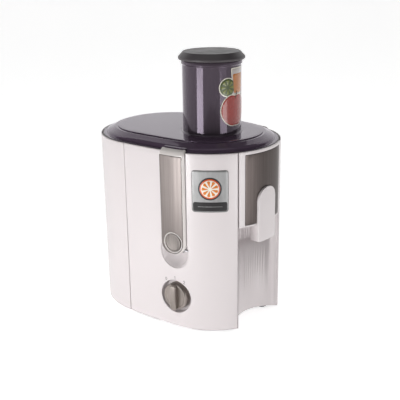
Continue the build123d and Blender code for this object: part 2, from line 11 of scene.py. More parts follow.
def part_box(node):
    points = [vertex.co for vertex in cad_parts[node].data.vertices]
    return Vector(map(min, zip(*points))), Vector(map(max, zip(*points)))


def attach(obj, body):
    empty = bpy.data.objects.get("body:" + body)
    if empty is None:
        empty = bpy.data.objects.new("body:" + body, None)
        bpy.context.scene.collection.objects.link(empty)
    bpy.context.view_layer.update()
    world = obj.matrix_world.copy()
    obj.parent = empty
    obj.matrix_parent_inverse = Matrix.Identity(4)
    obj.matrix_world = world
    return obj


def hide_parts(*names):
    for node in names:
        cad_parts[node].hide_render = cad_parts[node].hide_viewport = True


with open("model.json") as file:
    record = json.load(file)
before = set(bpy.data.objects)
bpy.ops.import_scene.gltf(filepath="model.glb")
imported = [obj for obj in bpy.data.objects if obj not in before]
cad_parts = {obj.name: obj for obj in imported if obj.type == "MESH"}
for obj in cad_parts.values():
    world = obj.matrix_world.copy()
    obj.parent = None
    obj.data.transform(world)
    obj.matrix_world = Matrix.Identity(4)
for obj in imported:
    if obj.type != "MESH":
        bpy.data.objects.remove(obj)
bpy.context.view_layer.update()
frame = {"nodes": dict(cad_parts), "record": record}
MM = 0.001

# ---- dimensions, worked out from the frame, in metres -------------------------------------------
housing_low, housing_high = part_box("motor_housing")
tub_low, tub_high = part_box("pulp_container")
shaft_low, shaft_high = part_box("motor_shaft")
panel_low, panel_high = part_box("end_frame")
steel_low, steel_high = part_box("steel_end_panel")
spout_low, spout_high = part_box("spout")
lid_low, lid_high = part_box("lid")
cap_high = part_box("pusher_cap")[1]
pusher_low, pusher_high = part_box("pusher_tube")
arm_low, arm_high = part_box("front_latch_arm")
knob_low, knob_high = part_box("knob")
disc_low, disc_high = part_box("front_latch_disc")
badge_low, badge_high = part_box("front_badge")
label_low, label_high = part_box("chute_label")

SIEVE_X = (shaft_low.x + shaft_high.x) / 2
PULP_R = (tub_high.y - tub_low.y) / 2
PULP_X = tub_low.x + PULP_R
SIEVE_R = panel_high.x - SIEVE_X
SIDE_R = 0.900
FOOT_Z = housing_low.z
RIM_Z = housing_high.z
HOUSING_SEAM_X = housing_low.x
TUB_SEAM_X = tub_high.x
LIP = 1.6 * MM
LEDGE_Z = RIM_Z - 2.8 * MM

# the side bow and where it meets the two round ends
SPAN = SIEVE_X - PULP_X
TO_LEFT, TO_RIGHT = SIDE_R - PULP_R, SIDE_R - SIEVE_R
BOW_ALONG = (TO_LEFT**2 - TO_RIGHT**2 + SPAN**2) / (2 * SPAN)
BOW_X = PULP_X + BOW_ALONG
BOW_Y = -math.sqrt(TO_LEFT**2 - BOW_ALONG**2)
BOW_START = math.atan2(-BOW_Y, SIEVE_X - BOW_X)
BOW_END = math.atan2(-BOW_Y, PULP_X - BOW_X)
SIEVE_ARC = SIEVE_R * BOW_START
SIDE_ARC = SIDE_R * (BOW_END - BOW_START)
PULP_ARC = PULP_R * (math.pi - BOW_END)
HALF_ROUND = SIEVE_ARC + SIDE_ARC + PULP_ARC

# the plane that the latches and the knob sit on
LATCH_W = 38.0 * MM
TURN = math.asin(11.0 * MM / SIEVE_R)
LATCH_FOOT_Z = arm_low.z
LATCH_TOP_Z = arm_high.z
KNOB_Z = (knob_low.z + knob_high.z) / 2
KNOB_R = (knob_high.z - knob_low.z) / 2
DISH_R = KNOB_R + 4.7 * MM
DISH_FLOOR = 84.5 * MM


# ---- places on the body -------------------------------------------------------------------------
def wall(s, z, inset=0.0):
    """The point on the body wall at distance s round from the spout end, positive along the front."""
    side = -1.0 if s >= 0 else 1.0
    t = min(abs(s), HALF_ROUND)
    if t <= SIEVE_ARC:
        angle, cx, cy, radius = t / SIEVE_R, SIEVE_X, 0.0, SIEVE_R
    elif t <= SIEVE_ARC + SIDE_ARC:
        angle, cx, cy, radius = BOW_START + (t - SIEVE_ARC) / SIDE_R, BOW_X, BOW_Y, SIDE_R
    else:
        angle = BOW_END + (t - SIEVE_ARC - SIDE_ARC) / PULP_R
        cx, cy, radius = PULP_X, 0.0, PULP_R
    reach = radius - inset
    return Vector((cx + math.cos(angle) * reach, side * (cy + math.sin(angle) * reach), z))


def find(measure, target, low, high):
    """The value between low and high where a rising measure reaches the target."""
    for _ in range(48):
        middle = (low + high) / 2
        if measure(middle) < target:
            low = middle
        else:
            high = middle
    return (low + high) / 2


def seam_s(x):
    """How far round the wall stands at x."""
    return find(lambda s: -wall(s, 0).x, -x, 0, HALF_ROUND)


OUT = Vector((math.sin(TURN), -math.cos(TURN), 0))
ACROSS = Vector((math.cos(TURN), math.sin(TURN), 0))
CENTRE = Vector((SIEVE_X, 0, 0))


def across(s):
    return (wall(s, 0) - CENTRE).dot(ACROSS)


def s_at(u):
    """Distance round the front wall for a place u to the right of the latch's middle line."""
    return find(lambda s: -across(s), -u, 0.4 * SIEVE_ARC, SIEVE_ARC + SIDE_ARC)


def in_front(u, out, z):
    """A point on the latch and knob plane: u to the right, out from the sieve axis."""
    return CENTRE + ACROSS * u + OUT * out + Vector((0, 0, z))


# ---- outlines in the flat -----------------------------------------------------------------------
def rounded(corners, radii, step=2.0 * MM):
    """A closed outline through the corners with each one rounded, and long sides divided."""
    points = []
    count = len(corners)
    for i, corner in enumerate(corners):
        here = Vector(corner)
        back = (Vector(corners[i - 1]) - here).normalized()
        ahead = (Vector(corners[(i + 1) % count]) - here).normalized()
        radius = radii[i] if isinstance(radii, (list, tuple)) else radii
        half = back.angle(ahead) / 2
        run = radius / math.tan(half)
        start, end = here + back * run, here + ahead * run
        middle = here + (back + ahead).normalized() * (radius / math.sin(half))
        first = start - middle
        turn = first.angle_signed(end - middle) if radius > 0 else 0
        pieces = max(1, int(abs(turn) / math.radians(11)) + 1) if radius > 0 else 0
        for k in range(pieces + 1):
            arc = Matrix.Rotation(-turn * k / max(1, pieces), 2) @ first
            points.append(middle + arc if radius > 0 else here)
    return divided(points, step)


def divided(points, step):
    """The same closed outline with long sides divided, and doubled points left out."""
    out = []
    for i, a in enumerate(points):
        b = points[(i + 1) % len(points)]
        length = (b - a).length
        if length < 1e-6:
            continue
        pieces = max(1, math.ceil(length / step))
        out += [a.lerp(b, k / pieces) for k in range(pieces)]
    return out


def ring(radius, centre=(0.0, 0.0), count=72):
    return [
        Vector((centre[0] + radius * math.cos(a), centre[1] + radius * math.sin(a)))
        for a in (2 * math.pi * k / count for k in range(count))
    ]


def area(loop):
    return 0.5 * sum(
        a.x * b.y - b.x * a.y for a, b in zip(loop, loop[1:] + loop[:1])
    )


def anticlockwise(loop):
    return loop if area(loop) > 0 else loop[::-1]


def shifted(loop, distance):
    """The outline moved to its left by a distance: inwards when it runs anticlockwise."""
    out = []
    count = len(loop)
    for i, p in enumerate(loop):
        a = (p - loop[i - 1]).normalized()
        b = (loop[(i + 1) % count] - p).normalized()
        normal = Vector((-a.y - b.y, a.x + b.x))
        normal.normalize()
        cosine = max(0.5, Vector((-a.y, a.x)).dot(normal))
        reach = distance(p) if callable(distance) else distance
        out.append(p + normal * reach / cosine)
    return out


def inside(points, loop):
    """Which points are inside a closed outline."""
    px, py = points[:, 0], points[:, 1]
    hit = np.zeros(len(points), bool)
    for a, b in zip(loop, loop[1:] + loop[:1]):
        crosses = (a.y > py) != (b.y > py)
        rise = b.y - a.y if b.y != a.y else 1e-12
        hit ^= crosses & (px < (b.x - a.x) * (py - a.y) / rise + a.x)
    return hit


# ---- mesh building ------------------------------------------------------------------------------
def finish_mesh(name, bm, smooth=40.0, merge=2e-5):
    """Turns a bmesh into an object with smooth shading broken at sharp edges."""
    bmesh.ops.remove_doubles(bm, verts=bm.verts, dist=merge)
    mesh = bpy.data.meshes.new(name)
    bm.to_mesh(mesh)
    bm.free()
    for polygon in mesh.polygons:
        polygon.use_smooth = True
    mesh.set_sharp_from_angle(angle=math.radians(smooth))
    obj = bpy.data.objects.new(name, mesh)
    bpy.context.scene.collection.objects.link(obj)
    return obj


def add_loops(bm, loops, closed=True, cap_first=False, cap_last=False):
    """Joins rows of points with quads. Every row has the same number of points."""
    rows = [[bm.verts.new(p) for p in loop] for loop in loops]
    count = len(rows[0])
    for a, b in zip(rows, rows[1:]):
        for i in range(count if closed else count - 1):
            j = (i + 1) % count
            corners = [a[i], a[j], b[j], b[i]]
            if len({tuple(v.co) for v in corners}) >= 3:
                bm.faces.new(corners)
    if cap_first:
        bm.faces.new(list(reversed(rows[0])))
    if cap_last:
        bm.faces.new(rows[-1])


def quarter(radius, steps=4):
    """The rounding of an edge: pairs of (distance in from the edge, depth below the face)."""
    angles = [math.pi / 2 * k / steps for k in range(steps + 1)]
    return [(radius * (1 - math.cos(a)), radius * (1 - math.sin(a))) for a in angles]


def add_skin(bm, outline, holes=(), place=wall, base=0.0, lip=1.0 * MM, hole_lip=None, skirt=None,
             depth=None, spread=None, grid=(3.0 * MM, 9.0 * MM), steps=4, flip=True):
    """A face that follows the wall, with every edge rounded over and turned inwards.

    outline and holes are anticlockwise in (distance round, height). Depths run inwards. spread
    makes the outline's rounding wider than it is deep."""
    hole_lip = lip if hole_lip is None else hole_lip
    loops = [(outline, 1)] + [(hole, -1) for hole in holes]
    points, insets, edges = [], [], []

    def add_ring(loop, inset):
        start = len(points)
        points.extend(loop)
        insets.extend([inset] * len(loop))
        edges.extend((start + i, start + (i + 1) % len(loop)) for i in range(len(loop)))

    for loop, way in loops:
        edge = lip if way > 0 else hole_lip
        for inward, down in quarter(edge, steps) if edge > 0 else [(0.0, 0.0)]:
            if way > 0 and spread:
                add_ring(shifted(loop, lambda p, inward=inward: inward * spread(p)), down)
            else:
                add_ring(shifted(loop, way * inward), down)
    xs = [p.x for p in outline]
    ys = [p.y for p in outline]
    nx = max(1, math.ceil((max(xs) - min(xs)) / grid[0]))
    ny = max(1, math.ceil((max(ys) - min(ys)) / grid[1]))
    gx = np.linspace(min(xs), max(xs), nx + 1)
    gy = np.linspace(min(ys), max(ys), ny + 1)
    cells = np.array([(x, y) for y in gy for x in gx])
    margin = 0.35 * min(grid)
    widest = lip * max((spread(p) for p in outline), default=1.0) if spread else lip
    keep = inside(cells, shifted(outline, widest + margin))
    for hole in holes:
        keep &= ~inside(cells, shifted(hole, -hole_lip - margin))
    for x, y in cells[keep]:
        points.append(Vector((x, y)))
        insets.append(0.0)
    scaled = [p * 1000 for p in points]
    verts, _, faces, origins, _, _ = delaunay_2d_cdt(scaled, edges, [], 0, 1e-5)
    flat = np.array([(v.x, v.y) for v in verts]) / 1000
    middles = np.array([flat[list(f)].mean(0) for f in faces])
    keep = inside(middles, outline)
    for hole in holes:
        keep &= ~inside(middles, hole)
    made = []
    for (x, y), origin in zip(flat, origins):
        inset = insets[origin[0]] if origin else 0.0
        extra = depth(x, y) if depth else 0.0
        made.append(bm.verts.new(place(x, y, base + inset + extra)))
    for face, wanted in zip(faces, keep):
        if wanted:
            corners = [made[i] for i in face]
            bm.faces.new(corners[::-1] if flip else corners)
    if skirt is None:
        return
    for loop, way in loops:
        top = [place(p.x, p.y, base + lip + (depth(p.x, p.y) if depth else 0)) for p in loop]
        foot = [place(p.x, p.y, base + (skirt(p.x, p.y) if callable(skirt) else skirt)) for p in loop]
        rows = [top, foot] if (way > 0) == flip else [foot, top]
        add_loops(bm, rows)


def lathe(bm, profile, centre=CENTRE, count=96, axis=None):
    """Turns a profile of (radius, height) about an upright axis, or about another axis."""
    rows = []
    if axis is None:
        across_, up_, along = Vector((1, 0, 0)), Vector((0, 1, 0)), Vector((0, 0, 1))
    else:
        along = axis.normalized()
        across_ = along.orthogonal().normalized()
        up_ = along.cross(across_)
    for radius, height in profile:
        rows.append(
            [
                centre + along * height + across_ * (radius * math.cos(a)) + up_ * (radius * math.sin(a))
                for a in (2 * math.pi * k / count for k in range(count))
            ]
        )
    add_loops(bm, rows)


def softened(profile, radii, steps=5):
    """A profile with its corners rounded. radii has one value for each inner corner."""
    out = [Vector(profile[0])]
    for i in range(1, len(profile) - 1):
        here, before, after = Vector(profile[i]), Vector(profile[i - 1]), Vector(profile[i + 1])
        radius = radii[i - 1] if isinstance(radii, (list, tuple)) else radii
        back, ahead = (before - here).normalized(), (after - here).normalized()
        half = back.angle(ahead) / 2
        if radius <= 0 or half > math.radians(88):
            out.append(here)
            continue
        run = radius / math.tan(half)
        middle = here + (back + ahead).normalized() * (radius / math.sin(half))
        first = here + back * run - middle
        turn = first.angle_signed(here + ahead * run - middle)
        out += [middle + Matrix.Rotation(-turn * k / steps, 2) @ first for k in range(steps + 1)]
    out.append(Vector(profile[-1]))
    return [(p.x, p.y) for p in out]


def stations(step=2.2 * MM, start=None, end=None):
    """Distances round the wall, spread evenly; the whole way round unless an end is given."""
    if start is None:
        count = round(2 * HALF_ROUND / step)
        return [-HALF_ROUND + 2 * HALF_ROUND * k / count for k in range(count)]
    count = max(2, round((end - start) / step))
    return [start + (end - start) * k / count for k in range(count + 1)]


def sweep(bm, profile):
    """Runs a profile of (inset, height) round the body's outline."""
    rows = [[wall(s, height, inset) for s in stations()] for inset, height in profile]
    add_loops(bm, rows[::-1])


def copied(name, node, body, material, wanted):
    """A piece from the faces of a CAD node that are wanted, by middle and normal, such as the
    inside of a shell, which the outer pieces don't show."""
    bm = bmesh.new()
    bm.from_mesh(frame["nodes"][node].data)
    bmesh.ops.remove_doubles(bm, verts=bm.verts, dist=1e-6)
    bm.normal_update()
    unwanted = [f for f in bm.faces if not wanted(f.calc_center_median(), f.normal)]
    bmesh.ops.delete(bm, geom=unwanted, context="FACES")
    obj = finish_mesh(name, bm, 30)
    obj.data.materials.append(material)
    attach(obj, body)


# ---- materials ----------------------------------------------------------------------------------
class Paint:
    """A small builder for one procedural material."""

    def __init__(self, name):
        self.material = bpy.data.materials.new(name)
        self.material.use_nodes = True
        self.tree = self.material.node_tree
        self.shader = self.tree.nodes["Principled BSDF"]
        self.place = self.tree.nodes.new("ShaderNodeTexCoord").outputs["Object"]

    def set(self, **values):
        for name, value in values.items():
            socket = self.shader.inputs[name.replace("_", " ")]
            if isinstance(value, bpy.types.NodeSocket):
                self.tree.links.new(value, socket)
            else:
                socket.default_value = value
        return self

    def node(self, kind, inputs=None, **settings):
        node = self.tree.nodes.new("ShaderNode" + kind)
        for name, value in settings.items():
            setattr(node, name, value)
        for name, value in (inputs or {}).items():
            if isinstance(value, bpy.types.NodeSocket):
                self.tree.links.new(value, node.inputs[name])
            else:
                node.inputs[name].default_value = value
        return node

    def stretch(self, scale):
        return self.node("Mapping", {"Vector": self.place, "Scale": scale}).outputs[0]

    def noise(self, scale, detail=3.0, where=None, rough=0.5):
        where = self.place if where is None else where
        inputs = {"Vector": where, "Scale": scale, "Detail": detail, "Roughness": rough}
        return self.node("TexNoise", inputs).outputs[0]

    def spread(self, value, low, high, from_low=0.3, from_high=0.7):
        inputs = {"Value": value, "From Min": from_low, "From Max": from_high}
        inputs.update({"To Min": low, "To Max": high})
        return self.node("MapRange", inputs).outputs[0]

    def colours(self, factor, a, b):
        mix = self.node("Mix", data_type="RGBA")
        self.tree.links.new(factor, mix.inputs[0])
        mix.inputs[6].default_value = (*a, 1)
        mix.inputs[7].default_value = (*b, 1)
        return mix.outputs[2]

    def bump(self, height, distance, strength=1.0):
        inputs = {"Height": height, "Distance": distance, "Strength": strength}
        return self.node("Bump", inputs).outputs[0]


def moulded(name, colour, rough=0.22, coat=0.3, orange_peel=0.00002, shade=0.96):
    """Glossy or matt moulded plastic with a faint uneven skin."""
    paint = Paint(name)
    blotch = paint.spread(paint.noise(9.0, 4.0), 0.0, 1.0)
    darker = tuple(c * shade for c in colour)
    paint.set(Base_Color=paint.colours(blotch, darker, colour))
    paint.set(Roughness=paint.spread(paint.noise(60.0, 5.0), rough * 0.85, rough * 1.2))
    paint.set(Coat_Weight=coat, Coat_Roughness=0.12, IOR=1.5)
    paint.set(Normal=paint.bump(paint.noise(900.0, 2.0), orange_peel))
    return paint.material


def smoked(name, colour, clear=0.35):
    """Smoke-tinted clear plastic."""
    paint = Paint(name)
    blotch = paint.spread(paint.noise(7.0, 3.0), 0.0, 1.0)
    paint.set(Base_Color=paint.colours(blotch, colour, tuple(c * 1.15 for c in colour)))
    paint.set(Roughness=paint.spread(paint.noise(45.0, 4.0), 0.05, 0.11))
    paint.set(Transmission_Weight=clear, IOR=1.5, Coat_Weight=0.25, Coat_Roughness=0.04)
    paint.set(Specular_Tint=(0.80, 0.66, 0.86, 1.0), Coat_Tint=(0.86, 0.76, 0.90, 1.0))
    paint.set(Normal=paint.bump(paint.noise(350.0, 2.0), 0.00001))
    return paint.material


def brushed(name, colour, rough=0.3, grain=(900.0, 900.0, 6.0), deep=0.00001):
    """Brushed metal, the grain running the long way of the stretched noise."""
    paint = Paint(name)
    lines = paint.noise(1.0, 6.0, paint.stretch(grain), 0.7)
    broad = paint.noise(1.0, 3.0, paint.stretch(tuple(g * 0.12 for g in grain)), 0.6)
    light = tuple(min(1.0, c * 1.25) for c in colour)
    dark = tuple(c * 0.78 for c in colour)
    paint.set(Base_Color=paint.colours(paint.spread(lines, 0.0, 1.0), dark, light))
    paint.set(Metallic=1.0, Anisotropic=0.6)
    paint.set(Roughness=paint.spread(broad, rough * 0.8, rough * 1.25))
    paint.set(Normal=paint.bump(lines, deep))
    return paint.material


def metal(name, colour, rough=0.2):
    paint = Paint(name)
    scratch = paint.noise(140.0, 6.0)
    paint.set(Base_Color=paint.colours(scratch, tuple(c * 0.9 for c in colour), colour))
    paint.set(Metallic=1.0, Roughness=paint.spread(scratch, rough * 0.7, rough * 1.4))
    paint.set(Normal=paint.bump(paint.noise(500.0, 3.0), 0.000008))
    return paint.material


def rubber(name, colour):
    paint = Paint(name)
    speckle = paint.noise(600.0, 4.0)
    paint.set(Base_Color=paint.colours(speckle, tuple(c * 0.7 for c in colour), colour))
    paint.set(Roughness=paint.spread(speckle, 0.65, 0.85), Specular_IOR_Level=0.35)
    paint.set(Normal=paint.bump(speckle, 0.00006))
    return paint.material


def wound(name, colour):
    """Enamelled wire, seen as fine turns."""
    paint = Paint(name)
    wave = paint.node("TexWave", {"Vector": paint.place, "Scale": 400.0, "Distortion": 1.5})
    paint.set(Base_Color=paint.colours(wave.outputs[1], tuple(c * 0.5 for c in colour), colour))
    paint.set(Metallic=0.9, Roughness=0.35, Normal=paint.bump(wave.outputs[1], 0.0003))
    return paint.material


def sieve_metal(name):
    """Thin etched steel with rows of fine round holes."""
    paint = Paint(name)
    split = paint.node("SeparateXYZ", {"Vector": paint.place})
    shift_x = paint.node("Math", {0: split.outputs[0], 1: -SIEVE_X}, operation="ADD")
    angle = paint.node("Math", {0: split.outputs[1], 1: shift_x.outputs[0]}, operation="ARCTAN2")
    turned = paint.node("Math", {0: angle.outputs[0], 1: 0.054}, operation="MULTIPLY")
    flat = paint.node("CombineXYZ", {"X": turned.outputs[0], "Y": split.outputs[2]})
    cells = paint.node("TexVoronoi", {"Vector": flat.outputs[0], "Scale": 620.0, "Randomness": 0.15})
    hole = paint.spread(cells.outputs[0], 1.0, 0.0, 0.30, 0.36)
    paint.set(Base_Color=paint.colours(hole, (0.72, 0.72, 0.74), (0.02, 0.02, 0.02)))
    paint.set(Metallic=1.0, Roughness=0.24, Normal=paint.bump(hole, -0.0002))
    return paint.material


WHITE = moulded("white_body", (0.675, 0.625, 0.63), 0.34, 0.2, 0.00001, 0.99)
GREY = moulded("grey_plastic", (0.20, 0.20, 0.21), 0.4, 0.0, 0.00004)
BLACK = moulded("black_plastic", (0.02, 0.02, 0.022), 0.45, 0.0, 0.00004)
BOWL = moulded("bowl_plastic", (0.62, 0.61, 0.62), 0.2, 0.4)
SMOKE = smoked("smoke_clear", (0.105, 0.072, 0.110), 0.3)
PUSHER_SMOKE = smoked("pusher_smoke", (0.060, 0.047, 0.058), 0.12)
CHUTE_SMOKE = smoked("chute_smoke", (0.060, 0.047, 0.058), 0.14)
CAP_GREY = moulded("cap_grey", (0.065, 0.056, 0.061), 0.42, 0.0, 0.00004, 0.92)
LATCH_GREY = moulded("latch_back_white", (0.62, 0.60, 0.59), 0.35, 0.2)
# The latch face's white, left showing round the steel sheet: painted highlight on the latch's rounded
# edges.
LATCH_RIM_HIGHLIGHT = moulded("latch_rim_painted_highlight", (0.64, 0.60, 0.58), 0.22, 0.5)
# A near-black copy of the lid's smoke plastic for the lid's lowest edge: painted shade for the gap where
# the lid meets the body's rim.
LID_GAP_SHADE = moulded("lid_edge_painted_shade", (0.022, 0.015, 0.018), 0.32, 0.2, 0.00002)
STEEL = brushed("brushed_steel", (0.150, 0.132, 0.126), 0.34)
DARK_STEEL = brushed("end_steel", (0.092, 0.077, 0.073), 0.36)
DISC_STEEL = brushed("disc_steel", (0.20, 0.18, 0.17), 0.28, (300.0, 300.0, 20.0))
KNOB_METAL = brushed("knob_metal", (0.29, 0.255, 0.235), 0.32, (300.0, 300.0, 20.0))
MARK_GREY = moulded("mark_grey", (0.30, 0.28, 0.28), 0.5, 0.0)
FOIL = brushed("badge_foil", (0.27, 0.27, 0.27), 0.4, (60.0, 60.0, 12.0))
INK = moulded("badge_ink", (0.010, 0.009, 0.010), 0.55, 0.0)
PEEL = moulded("badge_peel", (0.72, 0.10, 0.015), 0.25, 0.6, 0.00005, 0.8)
CREAM = moulded("print_cream", (0.80, 0.76, 0.66), 0.3, 0.4)
PULP = moulded("badge_pulp", (0.80, 0.22, 0.012), 0.25, 0.6, 0.00005, 0.7)
GLASS_INK = moulded("print_glass", (0.46, 0.42, 0.40), 0.2, 0.6)
JUICE = moulded("print_juice", (0.52, 0.17, 0.02), 0.25, 0.6, 0.00002, 0.72)
LEAF = moulded("print_rind", (0.07, 0.10, 0.02), 0.3, 0.5, 0.00004, 0.6)
LIME_FLESH = moulded("print_lime", (0.22, 0.24, 0.05), 0.25, 0.6, 0.00004, 0.6)
APPLE_RED = moulded("print_apple", (0.36, 0.022, 0.012), 0.25, 0.6, 0.00002, 0.55)
BARK = moulded("print_stalk", (0.10, 0.05, 0.02), 0.5, 0.2)
BRIGHT = metal("bright_steel", (0.82, 0.82, 0.83), 0.12)
ZINC = metal("zinc_steel", (0.62, 0.62, 0.64), 0.3)
CAST = metal("cast_bracket", (0.56, 0.56, 0.57), 0.45)
IRON = brushed("core_iron", (0.16, 0.16, 0.17), 0.5, (40.0, 40.0, 1500.0), 0.00004)
COPPER = wound("copper_wire", (0.78, 0.36, 0.16))
BRONZE = metal("bronze", (0.70, 0.45, 0.24), 0.35)
SIEVE = sieve_metal("sieve_steel")
FOOT_RUBBER = rubber("black_rubber", (0.025, 0.025, 0.027))
SEAL_RUBBER = rubber("grey_rubber", (0.28, 0.28, 0.29))
BOARD = moulded("board_green", (0.02, 0.16, 0.07), 0.35, 0.3)

SLOT_LOOKS = {
    "white_body": WHITE,
    "smoke_clear": SMOKE,
    "smoke_grey": CAP_GREY,
    "brushed_steel": STEEL,
    "bright_steel": BRIGHT,
    "sieve_steel": SIEVE,
    "grey_plastic": GREY,
    "black_plastic": BLACK,
    "clear_bowl": BOWL,
    "black_rubber": FOOT_RUBBER,
    "grey_rubber": SEAL_RUBBER,
    "zinc_steel": ZINC,
    "cast_bracket": CAST,
    "core_iron": IRON,
    "copper": COPPER,
    "bronze": BRONZE,
    "carbon": BLACK,
    "board_green": BOARD,
    "badge_print": BLACK,
    "label_print": BOARD,
    "switch_plastic": BLACK,
}
for part in frame["record"]["subparts"]:
    mesh = frame["nodes"][part["node"]].data
    mesh.materials.clear()
    mesh.materials.append(SLOT_LOOKS[part["material_slot"]])


def piece(name, bm, body, slot, material, nodes=(), smooth=40.0, merge=2e-5):
    """Puts a finished piece in the scene, riding on its body and standing for its CAD nodes."""
    obj = finish_mesh(name, bm, smooth, merge)
    obj.data.materials.append(material)
    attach(obj, body)
    if nodes:
        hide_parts(*nodes)
    return obj


# ---- body shells --------------------------------------------------------------------------------
SEAM_S = seam_s(HOUSING_SEAM_X)
TUB_SEAM_S = seam_s(TUB_SEAM_X)
PANEL_S = SIEVE_R * math.asin(min(1.0, panel_high.y / SIEVE_R)) + 0.9 * MM
BODY_LIP = 1.2 * MM
DISH_SIDES = 96
SLOT_HALF = LATCH_W / 2 + 0.4 * MM
CHANNEL = 1.9 * MM
HOLLOW_Z = LATCH_FOOT_Z + 2 * MM
HOLLOW_BALL = 24 * MM
HOLLOW_PROUD = 8 * MM
HOLLOW_OUT = SIEVE_R + HOLLOW_PROUD
HOLLOW_RIM = math.sqrt(HOLLOW_BALL**2 - HOLLOW_PROUD**2)


def keyhole(top):
    """The latch channel with its round finger hollow, as places (across, height), from the left
    top corner down and round to the right top corner."""
    join = math.asin(SLOT_HALF / HOLLOW_RIM)
    first, last = math.pi - (math.pi / 2 - join), 2 * math.pi + (math.pi / 2 - join)
    count = 44
    arc = [first + (last - first) * k / count for k in range(count + 1)]
    round_part = [(HOLLOW_RIM * math.cos(a), HOLLOW_Z + HOLLOW_RIM * math.sin(a)) for a in arc]
    return [(-SLOT_HALF, top), *round_part, (SLOT_HALF, top)]


def hollow_depth(s, z):
    """How deep the channel or the finger hollow is under the wall."""
    u = across(abs(s))
    face = (wall(abs(s), 0) - CENTRE).dot(OUT)
    left = HOLLOW_BALL**2 - u * u - (z - HOLLOW_Z) ** 2
    ball = face - (HOLLOW_OUT - math.sqrt(left)) if left > 0 else 0.0
    return max(CHANNEL, ball)


def housing_side(way):
    """The outline of one long side, from the spout panel's seam to the seam with the pulp tub."""
    corners = [(PANEL_S, RIM_Z), (PANEL_S, FOOT_Z), (SEAM_S, FOOT_Z), (SEAM_S, RIM_Z)]
    radii = [1.2 * MM, 1.6 * MM, 1.6 * MM, 1.6 * MM]
    latch = [(s_at(u), z) for u, z in keyhole(RIM_Z)]
    corners += latch
    radii += [1.3 * MM] + [0.0] * (len(latch) - 2) + [1.3 * MM]
    if way > 0:
        corners, radii = corners[::-1], radii[::-1]
    return rounded([(way * s, z) for s, z in corners], radii)


def rim_skirt(s, z):
    return LIP if z > RIM_Z - 0.5 * MM else 3.0 * MM


def dish_rows():
    """The knob's dish: from its rounded lip down a straight wall to a flat floor."""
    lip = [wall(s_at(p.x), KNOB_Z + p.y, BODY_LIP) for p in ring(DISH_R, count=DISH_SIDES)]
    floor = softened([(DISH_R, DISH_FLOOR + 3 * MM), (DISH_R, DISH_FLOOR), (4 * MM, DISH_FLOOR)], 2 * MM)
    rows = [lip]
    for radius, out in floor:
        rows.append([in_front(p.x, out, KNOB_Z + p.y) for p in ring(radius, count=DISH_SIDES)])
    return rows


def make_housing():
    bm = bmesh.new()
    dish = [Vector((s_at(p.x), KNOB_Z - p.y)) for p in ring(DISH_R, count=DISH_SIDES)]
    for way, holes in ((1, [anticlockwise(dish)]), (-1, [])):
        add_skin(bm, anticlockwise(housing_side(way)), holes, lip=BODY_LIP, skirt=rim_skirt)
    add_loops(bm, dish_rows())
    floor = [Vector((s_at(u), z)) for u, z in keyhole(LEDGE_Z)]
    for way in (1, -1):
        patch = divided(anticlockwise([Vector((way * p.x, p.y)) for p in floor]), 2 * MM)
        add_skin(bm, patch, lip=0, depth=hollow_depth, grid=(1.1 * MM, 1.6 * MM))
    piece("housing_shell", bm, "housing", "white_body", WHITE, ["motor_housing"], 38)
    copied("housing_inside", "motor_housing", "housing", WHITE, housing_inner_face)


def inset_of(point):
    """How far a point lies inside the body wall."""
    right = point.x > SIEVE_X + math.cos(BOW_START) * SIEVE_R
    if right:
        return SIEVE_R - math.hypot(point.x - SIEVE_X, point.y)
    if point.x < PULP_X:
        return PULP_R - math.hypot(point.x - PULP_X, point.y)
    return SIDE_R - math.hypot(point.x - BOW_X, abs(point.y) - BOW_Y)


def housing_inner_face(middle, normal):
    """Faces of the housing that the outer shell does not already show."""
    u = (middle - CENTRE).dot(ACROSS)
    mirrored_u = (Vector((middle.x, -middle.y, 0)) - CENTRE).dot(ACROSS)
    near_latch = min(abs(u), abs(mirrored_u)) < SLOT_HALF + 3.5 * MM
    inset = inset_of(middle)
    if inset < 1.0 * MM:
        return False
    if near_latch and middle.x > SIEVE_X - 20 * MM and inset < 22 * MM and middle.z < LEDGE_Z - 2 * MM:
        outwards = Vector((middle.x - SIEVE_X, middle.y, 0)).normalized().dot(normal)
        return outwards < -0.2
    return True


def make_tub():
    bm = bmesh.new()
    half = HALF_ROUND - TUB_SEAM_S
    corners = [(-half, FOOT_Z), (half, FOOT_Z), (half, RIM_Z), (-half, RIM_Z)]

    def tub_wall(s, z, inset=0.0):
        way = s + HALF_ROUND if s < 0 else s - HALF_ROUND
        return wall(way, z, inset)

    add_skin(bm, rounded(corners, 1.6 * MM), place=tub_wall, lip=BODY_LIP, skirt=rim_skirt)
    piece("pulp_tub_shell", bm, "pulp_container", "white_body", WHITE, ["pulp_container"], 38)

    def inner(middle, normal):
        return inset_of(middle) > 1.0 * MM

    copied("pulp_tub_inside", "pulp_container", "pulp_container", WHITE, inner)


make_housing()
make_tub()


# ---- spout end: frame, steel panel and spout ----------------------------------------------------
STEEL_S = SIEVE_R * math.asin(steel_high.y / SIEVE_R)
ARCH_HALF = spout_high.y
ARCH_Z = spout_high.z - ARCH_HALF
ARCH_GAP = 0.4 * MM
SPOUT_FACE_R = spout_high.x - SIEVE_X
SPOUT_BACK = spout_low.x - SIEVE_X


def arch_on_wall(grow, foot, count=40):
    """The spout's arch as places (round, height) on the wall, from one foot over to the other."""
    half = ARCH_HALF + grow
    points = [(half, foot)]
    points += [
        (half * math.cos(math.pi * k / count), ARCH_Z + half * math.sin(math.pi * k / count))
        for k in range(count + 1)
    ]
    points.append((-half, foot))
    return [(SIEVE_R * math.asin(y / SIEVE_R), z) for y, z in points]


